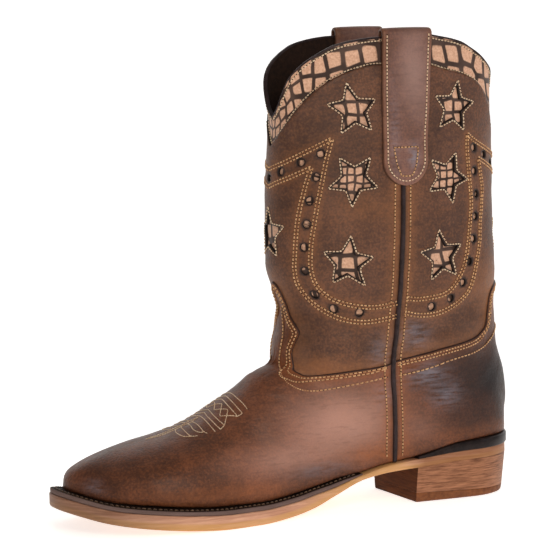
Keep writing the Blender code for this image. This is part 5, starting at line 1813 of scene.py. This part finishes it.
def sew_welt(thread):
    """Row of stitches on the welt, close to the upper."""
    loop, from_heel = outline_loop(sole_stations(400), WELT_ROW)

    def place(plan):
        at = np.maximum(-plan[:, 0], 0)
        heights = outsole_top(at) + WELT_GROOVE * (welt_top(at) - outsole_top(at)) + WELT_ROW_LIFT
        points = np.concatenate([plan, heights[:, None]], axis=1)
        return points, np.broadcast_to((0.0, 0.0, 1.0), points.shape)

    thread.sew(loop[from_heel > WELT_START + 3], place, 3.0, 0.7)


def make_sewing():
    """All rows of stitches, as one mesh for each thread."""
    tan, cream, toe, brown = Thread(), Thread(), Thread(), Thread()
    sew_shaft(tan, cream)
    sew_edges(tan, cream)
    sew_seams(tan)
    sew_straps(tan, cream)
    sew_toe(toe)
    sew_welt(brown)
    tan.make("tan_stitching", 0.40, TAN_THREAD, "shaft_leather", hole=0.45)
    cream.make("cream_stitching", 0.38, CREAM_THREAD, "shaft_leather", hole=0.45)
    toe.make("toe_stitching", 0.27, CREAM_THREAD, "vamp_leather")
    brown.make("welt_stitching", 0.38, WELT_THREAD, "welt_leather")


# Studio: pale floor that sweeps up behind, soft lights, and the photo's camera

CAMERA_YAW, CAMERA_PITCH, CAMERA_ROLL = 23.83, 5.57, -1.41
CAMERA_AWAY = 1488.96
CAMERA_AIM = (-141.06, 0.0, 132.72)
FOCAL_PIXELS, IMAGE_PIXELS = 2578.67, 560.0
# Sweep in metres: near edge, start and radius of its bend, top edge, half width
SWEEP_NEAR, SWEEP_BEND, SWEEP_RADIUS, SWEEP_TOP, SWEEP_HALF = -4.0, 1.6, 0.9, 4.0, 5.0
# Softboxes in metres and watts: name, place, aim, size, power, colour
SOFTBOXES = (
    ("key_softbox", (-0.2, -1.7, 0.95), (0.0, 0.0, 0.12), (0.9, 0.9), 15.5, "#fff6ea"),
    ("fill_softbox", (1.4, -1.0, 0.7), (0.0, 0.0, 0.12), (0.8, 1.0), 4.0, "#e6efff"),
    ("top_softbox", (-0.2, 0.1, 1.7), (0.0, 0.0, 0.1), (0.9, 0.7), 2.0, "#fff4e8"),
    ("rim_softbox", (-1.3, 0.6, 0.6), (0.0, 0.0, 0.1), (0.5, 0.9), 0.7, "#fff4e8"),
)
AMBIENT = 0.15


def make_camera():
    """Camera of the photo, from the fitted angles, distance and focal length."""
    yaw, pitch, roll = (math.radians(a) for a in (CAMERA_YAW, CAMERA_PITCH, CAMERA_ROLL))
    ahead = np.array([math.sin(yaw) * math.cos(pitch), math.cos(yaw) * math.cos(pitch), -math.sin(pitch)])
    level = np.array([math.cos(yaw), -math.sin(yaw), 0.0])
    upright = np.cross(level, ahead)
    right = level * math.cos(roll) + upright * math.sin(roll)
    up = upright * math.cos(roll) - level * math.sin(roll)
    place = (np.array(CAMERA_AIM) - ahead * CAMERA_AWAY - SHIFT) * MM
    data = bpy.data.cameras.new("camera")
    data.sensor_width = 36.0
    data.lens = FOCAL_PIXELS / IMAGE_PIXELS * data.sensor_width
    camera = bpy.data.objects.new("camera", data)
    bpy.context.collection.objects.link(camera)
    turned = Matrix(np.stack([right, up, -ahead], axis=1).tolist()).to_4x4()
    camera.matrix_world = Matrix.Translation(place.tolist()) @ turned
    bpy.context.scene.camera = camera


def make_floor():
    """Floor that sweeps up behind the boot, square to the camera."""
    # Opal acrylic lit from below: an even white with next to no shadow under the boot
    material, *_ = start_finish("back_lit_opal_acrylic_sweep", 0.9, 0.1, Base_Color=linear("#f7f5f2"),
                                Emission_Color=linear("#ffffff"), Emission_Strength=0.66)
    profile = [(SWEEP_NEAR, 0.0)]
    for turn in np.linspace(0, math.pi / 2, 13):
        profile.append((SWEEP_BEND + SWEEP_RADIUS * math.sin(turn), SWEEP_RADIUS * (1 - math.cos(turn))))
    profile.append((SWEEP_BEND + SWEEP_RADIUS, SWEEP_TOP))
    points = []
    yaw = math.radians(CAMERA_YAW)
    for along, up in profile:
        for aside in (-SWEEP_HALF, SWEEP_HALF):
            x = along * math.sin(yaw) + aside * math.cos(yaw)
            y = along * math.cos(yaw) - aside * math.sin(yaw)
            points.append((x, y, up))
    faces = [(k, k + 1, k + 3, k + 2) for k in range(0, len(points) - 2, 2)]
    mesh = bpy.data.meshes.new("acrylic_sweep")
    mesh.from_pydata(points, [], faces)
    mesh.shade_smooth()
    mesh.materials.append(material)
    floor = bpy.data.objects.new("acrylic_sweep", mesh)
    bpy.context.collection.objects.link(floor)


def make_light(name, place, aim, size, power, colour):
    """Rectangular softbox that faces its aim."""
    data = bpy.data.lights.new(name, "AREA")
    data.shape = "RECTANGLE"
    data.size, data.size_y = size
    data.energy = power
    data.color = linear(colour)[:3]
    light = bpy.data.objects.new(name, data)
    bpy.context.collection.objects.link(light)
    light.location = place
    light.rotation_euler = (Vector(aim) - Vector(place)).to_track_quat("-Z", "Y").to_euler()


def make_studio():
    """Floor, softboxes and an even ambient light."""
    make_floor()
    for softbox in SOFTBOXES:
        make_light(*softbox)
    world = bpy.data.worlds.new("studio")
    world.use_nodes = True
    background = world.node_tree.nodes["Background"]
    background.inputs["Color"].default_value = linear("#ffffff")
    background.inputs["Strength"].default_value = AMBIENT
    bpy.context.scene.world = world
    bpy.context.scene.view_settings.view_transform = "Standard"


def main():
    """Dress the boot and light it."""
    make_vamp()
    make_backing()
    make_lining()
    make_binding()
    for panel in PANELS:
        make_panel(panel)
    for name, side in SIDES:
        make_strap(name, side)
        make_piping(name, side)
    make_outsole()
    make_band("storm_welt", "welt", WELT_START, SOLE_LENGTH, WELT_PROFILE, WELT)
    make_band("polished_heel_rand", "heel_rand", 0.0, HEEL_BREAST - SEAT_GAP, RAND_PROFILE, RAND)
    make_heel()
    # The insole keeps its solid, in the lining's hide
    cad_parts["insole"].material_slots[0].material = LINING
    make_sewing()
    make_studio()
    make_camera()


main()
